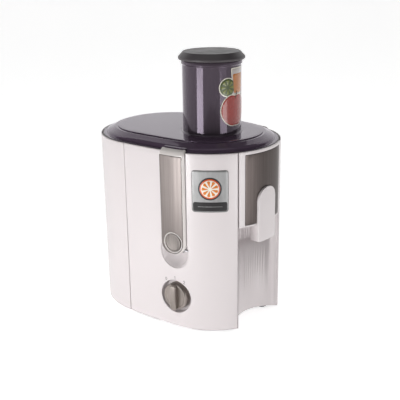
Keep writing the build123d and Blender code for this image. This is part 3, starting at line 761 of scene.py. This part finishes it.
def make_end_frame():
    bm = bmesh.new()
    edge = SIEVE_R * math.asin(panel_high.y / SIEVE_R) - 0.5 * MM
    foot, top = panel_low.z, RIM_Z
    opening = STEEL_S + 0.2 * MM
    low, high = steel_low.z - 0.2 * MM, steel_high.z + 0.2 * MM
    notch = SIEVE_R * math.asin((ARCH_HALF + ARCH_GAP) / SIEVE_R)
    corners = [(edge, foot), (edge, top), (-edge, top), (-edge, foot), (-notch, foot), (-notch, low)]
    corners += [(-opening, low), (-opening, high), (opening, high), (opening, low)]
    corners += [(notch, low), (notch, foot)]
    radii = [1.0 * MM] * 4 + [0.3 * MM, 0.3 * MM] + [0.8 * MM] * 4 + [0.3 * MM, 0.3 * MM]
    outline = anticlockwise(rounded(corners, radii))
    add_skin(bm, outline, lip=0.6 * MM, skirt=1.6 * MM)
    piece("end_frame_shell", bm, "housing", "white_body", WHITE, ["end_frame"], 38)


def make_steel_panel():
    bm = bmesh.new()
    low, high = steel_low.z, steel_high.z
    arch = arch_on_wall(ARCH_GAP, low)
    corners = [(STEEL_S, low), (STEEL_S, high), (-STEEL_S, high), (-STEEL_S, low)]
    radii = [0.5 * MM] * 4 + [0.0] * len(arch)
    outline = anticlockwise(rounded(corners + arch[::-1], radii))
    add_skin(bm, outline, base=0.15 * MM, lip=0.35 * MM, skirt=1.2 * MM, grid=(1.5 * MM, 9 * MM))
    piece("steel_end_sheet", bm, "housing", "brushed_steel", DARK_STEEL, ["steel_end_panel"], 38)


DOT_R = 1.5 * MM
DOT_PLACE = (0.0, ARCH_Z + 0.8 * MM)


def spout_face(y, z, inset=0.0):
    return Vector((SIEVE_X + math.sqrt(SPOUT_FACE_R**2 - y * y) - inset, y, z))


def spout_depth(y, z):
    """How far the hood's side walls run back; the foot is open, so it only turns in."""
    if z < spout_low.z + 0.4 * MM:
        return 2.4 * MM
    return math.sqrt(SPOUT_FACE_R**2 - y * y) - SPOUT_BACK


def make_spout():
    bm = bmesh.new()
    foot = spout_low.z
    count = 44
    corners = [(-ARCH_HALF, foot), (ARCH_HALF, foot)]
    corners += [
        (ARCH_HALF * math.cos(math.pi * k / count), ARCH_Z + ARCH_HALF * math.sin(math.pi * k / count))
        for k in range(count + 1)
    ]
    outline = anticlockwise(rounded(corners, [0.5 * MM, 0.5 * MM] + [0.0] * (count + 1)))
    dot = ring(DOT_R, DOT_PLACE, 32)
    add_skin(
        bm, outline, [dot], place=spout_face, lip=0.9 * MM, skirt=spout_depth, grid=(1.2 * MM, 6 * MM),
        flip=False,
    )
    floor = [spout_face(p.x, p.y, 1.6 * MM) for p in ring(DOT_R, DOT_PLACE, 32)]
    rim = [spout_face(p.x, p.y, 0.9 * MM) for p in ring(DOT_R, DOT_PLACE, 32)]
    add_loops(bm, [rim, floor], cap_last=True)
    piece("spout_hood", bm, "spout", "white_body", WHITE, ["spout"], 38)
    mark = bmesh.new()
    spot = ring(DOT_R - 0.1 * MM, DOT_PLACE, 32)
    add_skin(mark, spot, place=spout_face, base=0.7 * MM, lip=0.0, flip=False)
    piece("spout_dot", mark, "spout", "black_plastic", BLACK, (), 38)
    inner = ARCH_HALF - 2.2 * MM

    def hidden(middle, normal):
        reach = math.hypot(middle.y, max(0.0, middle.z - ARCH_Z))
        return reach < inner or normal.z < -0.9

    copied("spout_inside", "spout", "spout", WHITE, hidden)


make_end_frame()
make_steel_panel()
make_spout()


# ---- lid ----------------------------------------------------------------------------------------
LID_Z = RIM_Z + 10.2 * MM
PLATEAU_IN = 24.4 * MM
CHUTE_R = 40.0 * MM
CHUTE_BORE_R = 37.5 * MM
CHUTE_TOP_Z = lid_high.z
CHUTE_FOOT_Z = lid_low.z
FILLET = 2.2 * MM


def flat_top(x, y, down=0.0):
    return Vector((x, y, LID_Z - down))


def bar_along(bm, profile, places):
    """A closed profile of (inset, height) run along part of the wall, with both ends closed."""
    rows = [[wall(s, height, inset) for inset, height in profile] for s in places]
    add_loops(bm, rows, cap_first=True, cap_last=True)
    bmesh.ops.recalc_face_normals(bm, faces=bm.faces)


def make_lid():
    bm = bmesh.new()
    low = LEDGE_Z + 0.3 * MM
    edge = [(11.5 * MM, low), (2.3 * MM, low), (2.3 * MM, RIM_Z - 1.0 * MM), (4.0 * MM, RIM_Z + 0.3 * MM)]
    edge += [(8.3 * MM, RIM_Z + 0.4 * MM), (9.2 * MM, LID_Z - 6.6 * MM), (12.2 * MM, LID_Z - 5.0 * MM)]
    edge += [(16.6 * MM, LID_Z - 3.2 * MM), (20.6 * MM, LID_Z - 1.25 * MM), (PLATEAU_IN, LID_Z - 1.25 * MM)]
    radii = [0.3, 0.5, 1.4, 0.9, 2.0, 2.4, 5.0, 1.6]
    profile = softened(edge, [r * MM for r in radii])
    sweep(bm, [p for p in profile if p[1] > RIM_Z - 0.2 * MM])
    # The lowest band of the lid's edge, tucked into the body's rim, is near-black: painted shade in the gap
    # between lid and rim.
    band = bmesh.new()
    sweep(band, [p for p in profile if p[1] < RIM_Z + 0.25 * MM])
    piece("lid_edge_shade_band", band, "lid", "smoke_clear", LID_GAP_SHADE, (), 32, merge=1e-6)
    rim = [wall(s, 0, PLATEAU_IN) for s in stations()]
    outline = anticlockwise([Vector((p.x, p.y)) for p in rim])
    hole = anticlockwise(ring(CHUTE_R + FILLET, (SIEVE_X, 0.0), 96))
    add_skin(
        bm, outline, [hole], place=flat_top, lip=0.45 * MM, skirt=skirt_of_plateau,
        grid=(8 * MM, 8 * MM), flip=False,
    )
    piece("lid_cover", bm, "lid", "smoke_clear", SMOKE, ["lid"], 32, merge=1e-6)
    for way in (1, -1):
        bar = bmesh.new()
        reach = LATCH_W / 2 - 1.2 * MM
        ends = [s_at(-reach), s_at(reach)]
        places = [way * s for s in stations(2 * MM, min(ends), max(ends))]
        block = [(6.9, 0.2), (6.9, 3.4), (7.2, 3.9), (7.7, 4.1), (10.4, 4.3), (10.4, 0.2)]
        bar_along(bar, [(a * MM, RIM_Z + b * MM) for a, b in block], places)
        side = "front" if way > 0 else "rear"
        piece(side + "_lid_catch", bar, "lid", "smoke_clear", SMOKE, (), 30)

    def underside(middle, normal):
        inset = inset_of(middle)
        outer_step = abs(inset - 17 * MM) < 0.4 * MM and middle.z > RIM_Z + 4 * MM
        in_lid = inset > 11.2 * MM and middle.z < LID_Z - 0.5 * MM
        in_chute = math.hypot(middle.x - SIEVE_X, middle.y) <= CHUTE_R + 0.5 * MM
        return in_lid and not in_chute and normal.z < 0.3 and not outer_step

    copied("lid_inside", "lid", "lid", SMOKE, underside)


def skirt_of_plateau(x, y):
    """The plateau stands a little above the lid's shoulder; at the chute it meets the fillet."""
    return 0.5 * MM if math.hypot(x - SIEVE_X, y) < CHUTE_R + 6 * MM else 1.25 * MM


def make_chute():
    bm = bmesh.new()
    foot, top = CHUTE_FOOT_Z, CHUTE_TOP_Z
    lower = [(CHUTE_R, LID_Z - 2.5 * MM), (CHUTE_R, foot), (CHUTE_BORE_R, foot)]
    lathe(bm, softened(lower, [0.5 * MM])[::-1])
    flare = [
        (CHUTE_R + FILLET * (1 - math.sin(a)), LID_Z - 0.1 * MM + FILLET * (1 - math.cos(a)))
        for a in (math.pi / 2 * k / 6 for k in range(7))
    ]
    collar = [(CHUTE_R, top - 6.0 * MM), (CHUTE_R + 1.4 * MM, top - 4.6 * MM), (CHUTE_R + 1.4 * MM, top)]
    collar += [(CHUTE_BORE_R, top), (CHUTE_BORE_R, foot)]
    upper = flare + softened([flare[-1]] + collar, [2.0 * MM, 1.2 * MM, 0.8 * MM, 0.6 * MM])[1:]
    lathe(bm, upper)
    piece("feed_chute", bm, "lid", "smoke_clear", CHUTE_SMOKE, (), 35, merge=1e-6)


def make_pusher():
    bm = bmesh.new()
    top = cap_high.z
    outer = cap_high.y
    seat = CHUTE_TOP_Z + 0.6 * MM
    cap = [(34.0 * MM, seat), (outer, seat), (outer, seat + 3.4 * MM), (outer - 6.4 * MM, top)]
    cap.append((0.01 * MM, top - 0.3 * MM))
    lathe(bm, softened(cap, [1.5 * MM, 1.4 * MM, 1.2 * MM]), count=120)
    piece("pusher_top", bm, "pusher", "smoke_grey", CAP_GREY, ["pusher_cap"], 40, merge=1e-6)
    tube = bmesh.new()
    radius, foot = pusher_high.y, pusher_low.z
    wall_in = radius - 2.4 * MM
    body = [(0.01 * MM, foot), (radius, foot), (radius, seat + 0.4 * MM), (wall_in, seat + 0.4 * MM)]
    body += [(wall_in, foot + 2.4 * MM), (0.01 * MM, foot + 2.4 * MM)]
    lathe(tube, softened(body, [2.0 * MM, 0.3 * MM, 0.3 * MM, 1.0 * MM]))
    piece("pusher_body", tube, "pusher", "smoke_clear", PUSHER_SMOKE, ["pusher_tube"], 40, merge=1e-6)


make_lid()
make_chute()
make_pusher()


# ---- latches ------------------------------------------------------------------------------------
LATCH_OUT = 3.0 * MM
LATCH_HALF = LATCH_W / 2
LATCH_BACK = 1.5 * MM
DISC_R = (disc_high.z - disc_low.z) / 2
DISC_Z = (disc_high.z + disc_low.z) / 2
DISC_BACK = 95.1 * MM
SHOULDER_R = 7.5 * MM
SHOULDER_Z = LATCH_TOP_Z - SHOULDER_R
SHOULDER_RUN = SHOULDER_R * math.pi / 2
HOOK_RUN = SHOULDER_RUN + 1.7 * MM
FOOT_ROUND = LATCH_HALF - 1.0 * MM
INLAY_TOP = -0.4 * MM
INLAY_LEFT = 0.7 * MM
# The steel sheet stops further short of the right edge than the left, leaving a wider white band on the
# right: painted highlight.
INLAY_RIGHT_HIGHLIGHT = 3.2 * MM
INLAY_FOOT = 0.8 * MM
INLAY_PROUD = 0.35 * MM
DISC_RING = 1.7 * MM
DISC_GAP = 0.2 * MM
DISC_LIP = 0.7 * MM
DISC_SIDES = 72
PLATE_LIP = 2.4 * MM


def over_hook(run, down):
    """Inset and height on the latch's outer surface: up the face, round the shoulder, over the lid.

    run is counted from the foot of the shoulder, and down is the depth under the surface."""
    if run <= 0:
        return down - LATCH_OUT, SHOULDER_Z + run
    if run <= SHOULDER_RUN:
        angle = run / SHOULDER_R
        reach = SHOULDER_R - down
        return SHOULDER_R - LATCH_OUT - reach * math.cos(angle), SHOULDER_Z + reach * math.sin(angle)
    return SHOULDER_R - LATCH_OUT + run - SHOULDER_RUN, SHOULDER_Z + SHOULDER_R - down


def latch_thickness(u, run):
    """Thick down the face, thin over the lid."""
    blend = min(1.0, max(0.0, (run + 14 * MM) / (14 * MM)))
    return (LATCH_OUT + LATCH_BACK) * (1 - blend) + 2.3 * MM * blend


def latch_bevel(p):
    """The rounded sides are wide along the strip and narrow round the disc."""
    height = p.y + SHOULDER_Z - LATCH_FOOT_Z
    return 0.55 + min(1.0, max(0.0, height / (17 * MM)))


def inlay_bevel(p):
    """The steel sheet's right side is rounded over more widely than its left."""
    return 3.4 if p.x > 0 else 1.0


def flipped(point, way):
    return Vector((point.x, way * point.y, point.z))


def latch_place(way):
    """The rule that takes (across, run) and a depth on the latch at one side to a point."""
    def place(u, run, down=0.0):
        inset, z = over_hook(run, down)
        return flipped(wall(s_at(u), z, inset), way)

    return place


def disc_ring(gap):
    """The circle round the latch's disc, a gap wider than the disc."""
    return anticlockwise(ring(DISC_R + gap, (0.0, DISC_Z - SHOULDER_Z), DISC_SIDES))


def latch_outline():
    low = LATCH_FOOT_Z - SHOULDER_Z
    corners = [(-LATCH_HALF, low), (LATCH_HALF, low), (LATCH_HALF, HOOK_RUN), (-LATCH_HALF, HOOK_RUN)]
    return rounded(corners, [FOOT_ROUND, FOOT_ROUND, 1.0 * MM, 1.0 * MM], 1.6 * MM)


def make_latch_plate(side, way):
    """The white outer face, which shows round the steel sheet and runs over the lid. Its white band, wide
    on the right of the sheet and over the shoulder, is painted highlight on the latch's rounded edges.
    """
    bm = bmesh.new()
    add_skin(
        bm, latch_outline(), [disc_ring(DISC_GAP)], place=latch_place(way), lip=PLATE_LIP,
        spread=latch_bevel, hole_lip=DISC_LIP, steps=7, grid=(2.2 * MM, 3.0 * MM), flip=way < 0,
    )
    piece(side + "_latch_plate", bm, side + "_latch", "white_body", LATCH_RIM_HIGHLIGHT, (), 50)


def make_latch_inlay(side, way):
    """The steel sheet let into the latch's face."""
    left, right = INLAY_LEFT - LATCH_HALF, LATCH_HALF - INLAY_RIGHT_HIGHLIGHT
    low = LATCH_FOOT_Z - SHOULDER_Z + INLAY_FOOT
    corners = [(left, low), (right, low), (right, INLAY_TOP), (left, INLAY_TOP)]
    outline = rounded(corners, [FOOT_ROUND - 2.2 * MM] * 2 + [0.8 * MM] * 2, 1.6 * MM)
    bm = bmesh.new()
    add_skin(
        bm, outline, [disc_ring(DISC_RING)], place=latch_place(way), base=-INLAY_PROUD, lip=0.5 * MM,
        spread=inlay_bevel, hole_lip=INLAY_PROUD, skirt=0.3 * MM, steps=5, grid=(2.2 * MM, 3.0 * MM),
        flip=way < 0,
    )
    piece(side + "_latch_strip", bm, side + "_latch", "brushed_steel", STEEL, [side + "_latch_trim"], 50)


def make_latch_back(side, way):
    """The back and the sides of the arm, the well for the disc, and the ears on the hinge pin."""
    place = latch_place(way)
    outline, hole = latch_outline(), disc_ring(DISC_GAP)
    bm = bmesh.new()
    add_skin(bm, outline, place=place, lip=0.0, depth=latch_thickness, flip=way > 0, grid=(4 * MM, 3 * MM))
    rows = [[place(p.x, p.y, latch_thickness(p.x, p.y)) for p in outline]]
    rows.append([place(p.x, p.y, PLATE_LIP) for p in outline])
    add_loops(bm, rows if way > 0 else rows[::-1])
    shaft = [place(p.x, p.y, DISC_LIP) for p in hole]
    well = [place(p.x, p.y, 2.6 * MM) for p in hole]
    add_loops(bm, [shaft, well] if way < 0 else [well, shaft])
    arm = side + "_latch_arm"
    piece(side + "_latch_back", bm, side + "_latch", "white_body", LATCH_GREY, [arm], 40)

    def ear(middle, normal):
        return inset_of(middle) > LATCH_BACK + 0.2 * MM and middle.z < LATCH_FOOT_Z + 14 * MM

    copied(side + "_latch_ears", arm, side + "_latch", LATCH_GREY, ear)


def make_latch_button(side, way):
    """The steel disc low on the latch, dished inside a narrow rim."""
    bm = bmesh.new()
    out = SIEVE_R + LATCH_OUT
    edge, crest = DISC_R - 0.1 * MM, out + 0.4 * MM
    rim = [(edge, DISC_BACK), (edge, crest), (DISC_R - 1.6 * MM, crest)]
    rim += [(DISC_R - 2.3 * MM, out - 0.3 * MM), (0.01 * MM, out - 0.5 * MM)]
    middle = flipped(in_front(0, 0, DISC_Z), way)
    lathe(bm, softened(rim, [0.7 * MM, 0.5 * MM, 0.6 * MM]), middle, DISC_SIDES, axis=flipped(OUT, way))
    disc = side + "_latch_disc"
    piece(side + "_latch_button", bm, side + "_latch", "bright_steel", DISC_STEEL, [disc], 40, 1e-6)


for side, way in (("front", 1), ("rear", -1)):
    make_latch_plate(side, way)
    make_latch_inlay(side, way)
    make_latch_back(side, way)
    make_latch_button(side, way)


# ---- switch knob --------------------------------------------------------------------------------
KNOB_FACE = 96.0 * MM
GRIP_FACE = 102.5 * MM
GRIP_HALF = 4.5 * MM


def make_knob():
    dial = bmesh.new()
    edge = [(KNOB_R, DISH_FLOOR + 0.5 * MM), (KNOB_R, KNOB_FACE - 1.6 * MM), (KNOB_R - 1.4 * MM, KNOB_FACE)]
    edge += [(KNOB_R - 3.2 * MM, KNOB_FACE), (KNOB_R - 3.9 * MM, KNOB_FACE - 0.5 * MM)]
    edge.append((0.01 * MM, KNOB_FACE - 0.5 * MM))
    soft = [0.8 * MM, 0.8 * MM, 0.4 * MM, 0.4 * MM]
    lathe(dial, softened(edge, soft), in_front(0, 0, KNOB_Z), 96, axis=OUT)
    piece("knob_dial", dial, "knob", "brushed_steel", KNOB_METAL, ["knob"], 40, 1e-6)
    bar = bmesh.new()
    reach = KNOB_R - 0.4 * MM
    corners = [(-GRIP_HALF, KNOB_Z - reach), (GRIP_HALF, KNOB_Z - reach)]
    corners += [(GRIP_HALF, KNOB_Z + reach), (-GRIP_HALF, KNOB_Z + reach)]

    def front(u, z, down=0.0):
        bulge = 1.2 * MM * (1 - ((z - KNOB_Z) / reach) ** 2)
        return in_front(u, GRIP_FACE - 1.2 * MM + bulge - down, z)

    outline = rounded(corners, 3.6 * MM, 1.5 * MM)
    add_skin(
        bar, outline, place=front, lip=2.0 * MM, skirt=8.0 * MM, steps=6, grid=(2 * MM, 2 * MM), flip=False
    )
    piece("knob_handle", bar, "knob", "brushed_steel", KNOB_METAL, ["knob_grip"], 50)


STROKE = 0.45 * MM


def ribbon(bm, path):
    """A thin printed line on the wall along places (across, height)."""
    for a, b in zip(path, path[1:]):
        a, b = Vector(a), Vector(b)
        side = (b - a).normalized()
        side = Vector((-side.y, side.x)) * STROKE
        cap = (b - a).normalized() * STROKE * 0.6
        corners = [a - side - cap, b - side + cap, b + side + cap, a + side - cap]
        bm.faces.new([bm.verts.new(wall(s_at(p.x), p.y, -0.08 * MM)) for p in corners])


def numeral(which, height):
    """The strokes of a plain numeral, in units of its height, centred."""
    turns = [2 * math.pi * k / 16 for k in range(17)]
    if which == 0:
        path = [(0.28 * math.cos(a), 0.5 * math.sin(a)) for a in turns]
    elif which == 1:
        path = [(-0.16, 0.3), (0.04, 0.5), (0.04, -0.5)]
    else:
        bend = [(0.26 * math.cos(a), 0.24 + 0.26 * math.sin(a)) for a in turns[7::-1]]
        path = bend + [(0.24, 0.1), (-0.26, -0.5), (0.28, -0.5)]
    return [(x * height, y * height) for x, y in path]


def make_marks():
    bm = bmesh.new()
    reach = DISH_R + 4.2 * MM
    for which, degrees in ((0, -33.0), (1, 0.0), (2, 31.0)):
        angle = math.radians(degrees)
        u, z = reach * math.sin(angle), KNOB_Z + reach * math.cos(angle)
        ribbon(bm, [(u + x, z + y) for x, y in numeral(which, 4.2 * MM)])
    piece("dial_marks", bm, "housing", "grey_plastic", MARK_GREY, (), 180, 1e-7)


make_knob()
make_marks()


# ---- stickers -----------------------------------------------------------------------------------
def sticker(name, body, slot, material, outlines, place, lift, flip, depth=None, nodes=(), grid=3 * MM):
    """Thin printed shapes on a surface, each lifted a little above what is under it."""
    bm = bmesh.new()
    for outline in outlines:
        add_skin(
            bm, anticlockwise(outline), place=place, base=-lift, lip=0.08 * MM, skirt=0.0, steps=2,
            grid=(grid, grid), flip=flip, depth=depth,
        )
    piece(name, bm, body, slot, material, nodes, 50, 1e-6)


BADGE_NEAR = SIEVE_R * math.atan2(-badge_high.y, badge_high.x - SIEVE_X)
BADGE_FAR = SIEVE_R * math.atan2(-badge_low.y, badge_low.x - SIEVE_X)
BADGE_HALF = (BADGE_FAR - BADGE_NEAR) / 2
BADGE_MID = (BADGE_FAR + BADGE_NEAR) / 2
BADGE_FOOT, BADGE_TOP = badge_low.z, badge_high.z
EMBLEM_R = 15.2 * MM
EMBLEM_Z = BADGE_TOP - 24.5 * MM
SEGMENT_SHARE = 0.62


def emblem_dome(s, z):
    spot = ((s - BADGE_MID) ** 2 + (z - EMBLEM_Z) ** 2) / EMBLEM_R**2
    return -0.9 * MM * max(0.0, 1 - spot)


def citrus_slice(centre, count, near, far, bulge, soft):
    """The segments of a citrus slice, each a rounded wedge with a bulging outer side."""
    half = math.pi / count
    wedges = []
    for k in range(count):
        middle = 2 * half * k
        left, right = middle + half * SEGMENT_SHARE, middle - half * SEGMENT_SHARE
        corners = [(near, middle), (far, right), (far * bulge, middle), (far, left)]
        places = [(centre[0] + r * math.cos(a), centre[1] + r * math.sin(a)) for r, a in corners]
        wedges.append(rounded(places, [0.3 * MM, soft, soft, soft], 1 * MM))
    return wedges


def make_badge():
    def box(left, right, low, high, radius):
        corners = [(left, low), (right, low), (right, high), (left, high)]
        return rounded(corners, radius)

    left, right = BADGE_MID - BADGE_HALF, BADGE_MID + BADGE_HALF
    edge = 1.5 * MM
    where = ("housing", "badge_print")
    edging = [box(left, right, BADGE_FOOT, BADGE_TOP, 4 * MM)]
    sticker("badge_edging", *where, INK, edging, wall, 0.20 * MM, True, nodes=["front_badge"])
    rim = 0.55 * MM
    ground = [box(left + rim, right - rim, BADGE_FOOT + rim, BADGE_TOP - rim, 3.5 * MM)]
    sticker("badge_ground", *where, FOIL, ground, wall, 0.27 * MM, True)
    band = [box(left + edge, right - edge, BADGE_FOOT + edge, BADGE_FOOT + 13.6 * MM, 2.6 * MM)]
    sticker("badge_band", *where, INK, band, wall, 0.33 * MM, True)
    line = [box(left + 8 * MM, right - 8 * MM, BADGE_FOOT + 7.2 * MM, BADGE_FOOT + 7.9 * MM, 0.3 * MM)]
    sticker("badge_line", *where, FOIL, line, wall, 0.41 * MM, True)
    place = (BADGE_MID, EMBLEM_Z)
    rings = ((EMBLEM_R, INK, "rind", 0.35), (EMBLEM_R * 0.87, PEEL, "peel", 0.43))
    rings += ((EMBLEM_R * 0.76, CREAM, "pith", 0.51),)
    for radius, look, name, lift in rings:
        shape = [ring(radius, place, 64)]
        sticker("badge_" + name, *where, look, shape, wall, lift * MM, True, emblem_dome, grid=1.6 * MM)
    wedges = citrus_slice(place, 9, 1.6 * MM, EMBLEM_R * 0.67, 1.08, 0.9 * MM)
    sticker("badge_segments", *where, PULP, wedges, wall, 0.60 * MM, True, emblem_dome, grid=1.2 * MM)


def on_chute(a, z, inset=0.0):
    reach = CHUTE_R - inset
    return Vector((SIEVE_X + reach * math.cos(a / CHUTE_R), reach * math.sin(a / CHUTE_R), z))


LABEL_FOOT, LABEL_TOP = label_low.z, label_high.z
APPLE = (0.5 * MM, LABEL_FOOT + 23.5 * MM)
LIME = (-12.6 * MM, LABEL_FOOT + 54.0 * MM)
LIME_R = 11.5 * MM
TUMBLER_FOOT = LABEL_FOOT + 44 * MM
TUMBLER_TOP = LABEL_TOP - 2.5 * MM


def apple_shape(grow):
    """A round fruit with a dimple at the stalk and a narrower foot."""
    points = []
    for k in range(72):
        a = 2 * math.pi * k / 72
        dimple = 0.16 * math.exp(-((a - math.pi / 2) / 0.35) ** 2)
        foot = 0.07 * math.exp(-((a - 1.5 * math.pi) / 0.3) ** 2)
        reach = 22.0 * MM * (1 - dimple - foot) + grow
        points.append(Vector((APPLE[0] + 1.04 * reach * math.cos(a), APPLE[1] + reach * math.sin(a))))
    return points


def tumbler_shape(grow, level=1.0):
    low, high = TUMBLER_FOOT - grow, TUMBLER_FOOT + (TUMBLER_TOP - TUMBLER_FOOT) * level + grow
    corners = [(-3.5 * MM - grow, low), (17.5 * MM + grow, low)]
    corners += [(20.5 * MM + grow, high), (-6.0 * MM - grow, high)]
    return rounded(corners, 2.0 * MM)


def make_chute_label():
    where = ("lid", "label_print")
    white = 1.3 * MM
    backing = [("tumbler", tumbler_shape(white), 0.20), ("lime", ring(LIME_R + white, LIME, 56), 0.26)]
    backing.append(("apple", apple_shape(white), 0.38))
    for name, shape, lift in backing:
        nodes = ["chute_label"] if name == "apple" else ()
        sticker("label_edge_" + name, *where, CREAM, [shape], on_chute, lift * MM, False, nodes=nodes)
    prints = [
        ("glass", GLASS_INK, tumbler_shape(0), 0.27),
        ("juice", JUICE, tumbler_shape(-1.4 * MM, 0.84), 0.33),
        ("lime_rind", LEAF, ring(LIME_R, LIME, 56), 0.33),
        ("apple_skin", APPLE_RED, apple_shape(0), 0.45),
    ]
    for name, look, shape, lift in prints:
        sticker("label_" + name, *where, look, [shape], on_chute, lift * MM, False)
    flesh = citrus_slice(LIME, 8, 1.6 * MM, 9.2 * MM, 1.07, 0.8 * MM)
    sticker("label_lime_flesh", *where, LIME_FLESH, flesh, on_chute, 0.41 * MM, False, grid=1.5 * MM)
    stalk = [(APPLE[0] - 1.0 * MM, APPLE[1] + 15 * MM), (APPLE[0] + 0.8 * MM, APPLE[1] + 15 * MM)]
    stalk += [(APPLE[0] + 4.2 * MM, APPLE[1] + 24 * MM), (APPLE[0] + 2.2 * MM, APPLE[1] + 24.4 * MM)]
    sticker("label_stalk", *where, BARK, [rounded(stalk, 0.6 * MM)], on_chute, 0.52 * MM, False)


make_badge()
make_chute_label()


# ---- floor, light and camera --------------------------------------------------------------------
def backdrop():
    """A pale floor that curves up behind the machine."""
    bm = bmesh.new()
    profile = softened([(-2.0, 0.0), (2.2, 0.0), (2.2, 3.0)], 1.0, 24)
    rows = [[Vector((x, depth, height)) for x in (-6.0, 6.0)] for depth, height in profile]
    add_loops(bm, rows, closed=False)
    floor = finish_mesh("floor", bm, 180)
    paint = Paint("floor_paper")
    tone = paint.colours(paint.noise(3.0, 3.0), (0.90, 0.90, 0.90), (0.92, 0.92, 0.92))
    paint.set(Base_Color=tone, Roughness=0.7, Emission_Color=tone, Emission_Strength=0.68)
    floor.data.materials.append(paint.material)
    floor.matrix_world = Matrix.Rotation(CAMERA_AZ, 4, "Z")


def direction(a, e):
    """Towards azimuth a and elevation e. Azimuth 0 is in front of the long side."""
    return Vector((math.sin(a) * math.cos(e), -math.cos(a) * math.cos(e), math.sin(e)))


def area_light(name, azimuth, elevation, distance, size, power, colour=(1, 1, 1)):
    """A soft box aimed at the machine's middle. The angles are in degrees."""
    data = bpy.data.lights.new(name, "AREA")
    data.shape = "RECTANGLE"
    data.size, data.size_y = size
    data.energy = power
    data.color = colour
    lamp = bpy.data.objects.new(name, data)
    bpy.context.scene.collection.objects.link(lamp)
    aim = Vector((0, 0, 0.17))
    away = direction(math.radians(azimuth), math.radians(elevation))
    lamp.location = aim + away * distance
    lamp.rotation_euler = away.to_track_quat("Z", "Y").to_euler()


CAMERA_AZ = math.radians(41.43)
CAMERA_EL = math.radians(18.15)
CAMERA_ROLL = math.radians(-0.85)
CAMERA_AWAY = 1.117
CAMERA_AIM = Vector((SIEVE_X - 0.0377, 0.0152, 0.1488))
LENS = 68.5


def place_camera():
    data = bpy.data.cameras.new("camera")
    data.lens = LENS
    data.sensor_width = 36.0
    camera = bpy.data.objects.new("camera", data)
    bpy.context.scene.collection.objects.link(camera)
    away = direction(CAMERA_AZ, CAMERA_EL)
    camera.location = CAMERA_AIM + away * CAMERA_AWAY
    turn = away.to_track_quat("Z", "Y").to_matrix() @ Matrix.Rotation(CAMERA_ROLL, 3, "Z")
    camera.rotation_euler = turn.to_euler()
    bpy.context.scene.camera = camera


def light_room():
    world = bpy.data.worlds.new("room")
    world.use_nodes = True
    world.node_tree.nodes["Background"].inputs[0].default_value = (1, 0.995, 0.99, 1)
    world.node_tree.nodes["Background"].inputs[1].default_value = 0.15
    bpy.context.scene.world = world
    bpy.context.scene.view_settings.view_transform = "Standard"
    side = math.degrees(CAMERA_AZ)
    for name, azimuth, power in (("left_strip", side - 43, 1.5), ("right_strip", side + 43, 0.7)):
        area_light(name, azimuth, -5, 0.60, (0.27, 0.22), power)
    area_light("key", side - 60, 45, 1.5, (0.9, 0.9), 1.5)
    area_light("top", side + 10, 80, 1.3, (1.0, 1.0), 1.6)


backdrop()
place_camera()
light_room()
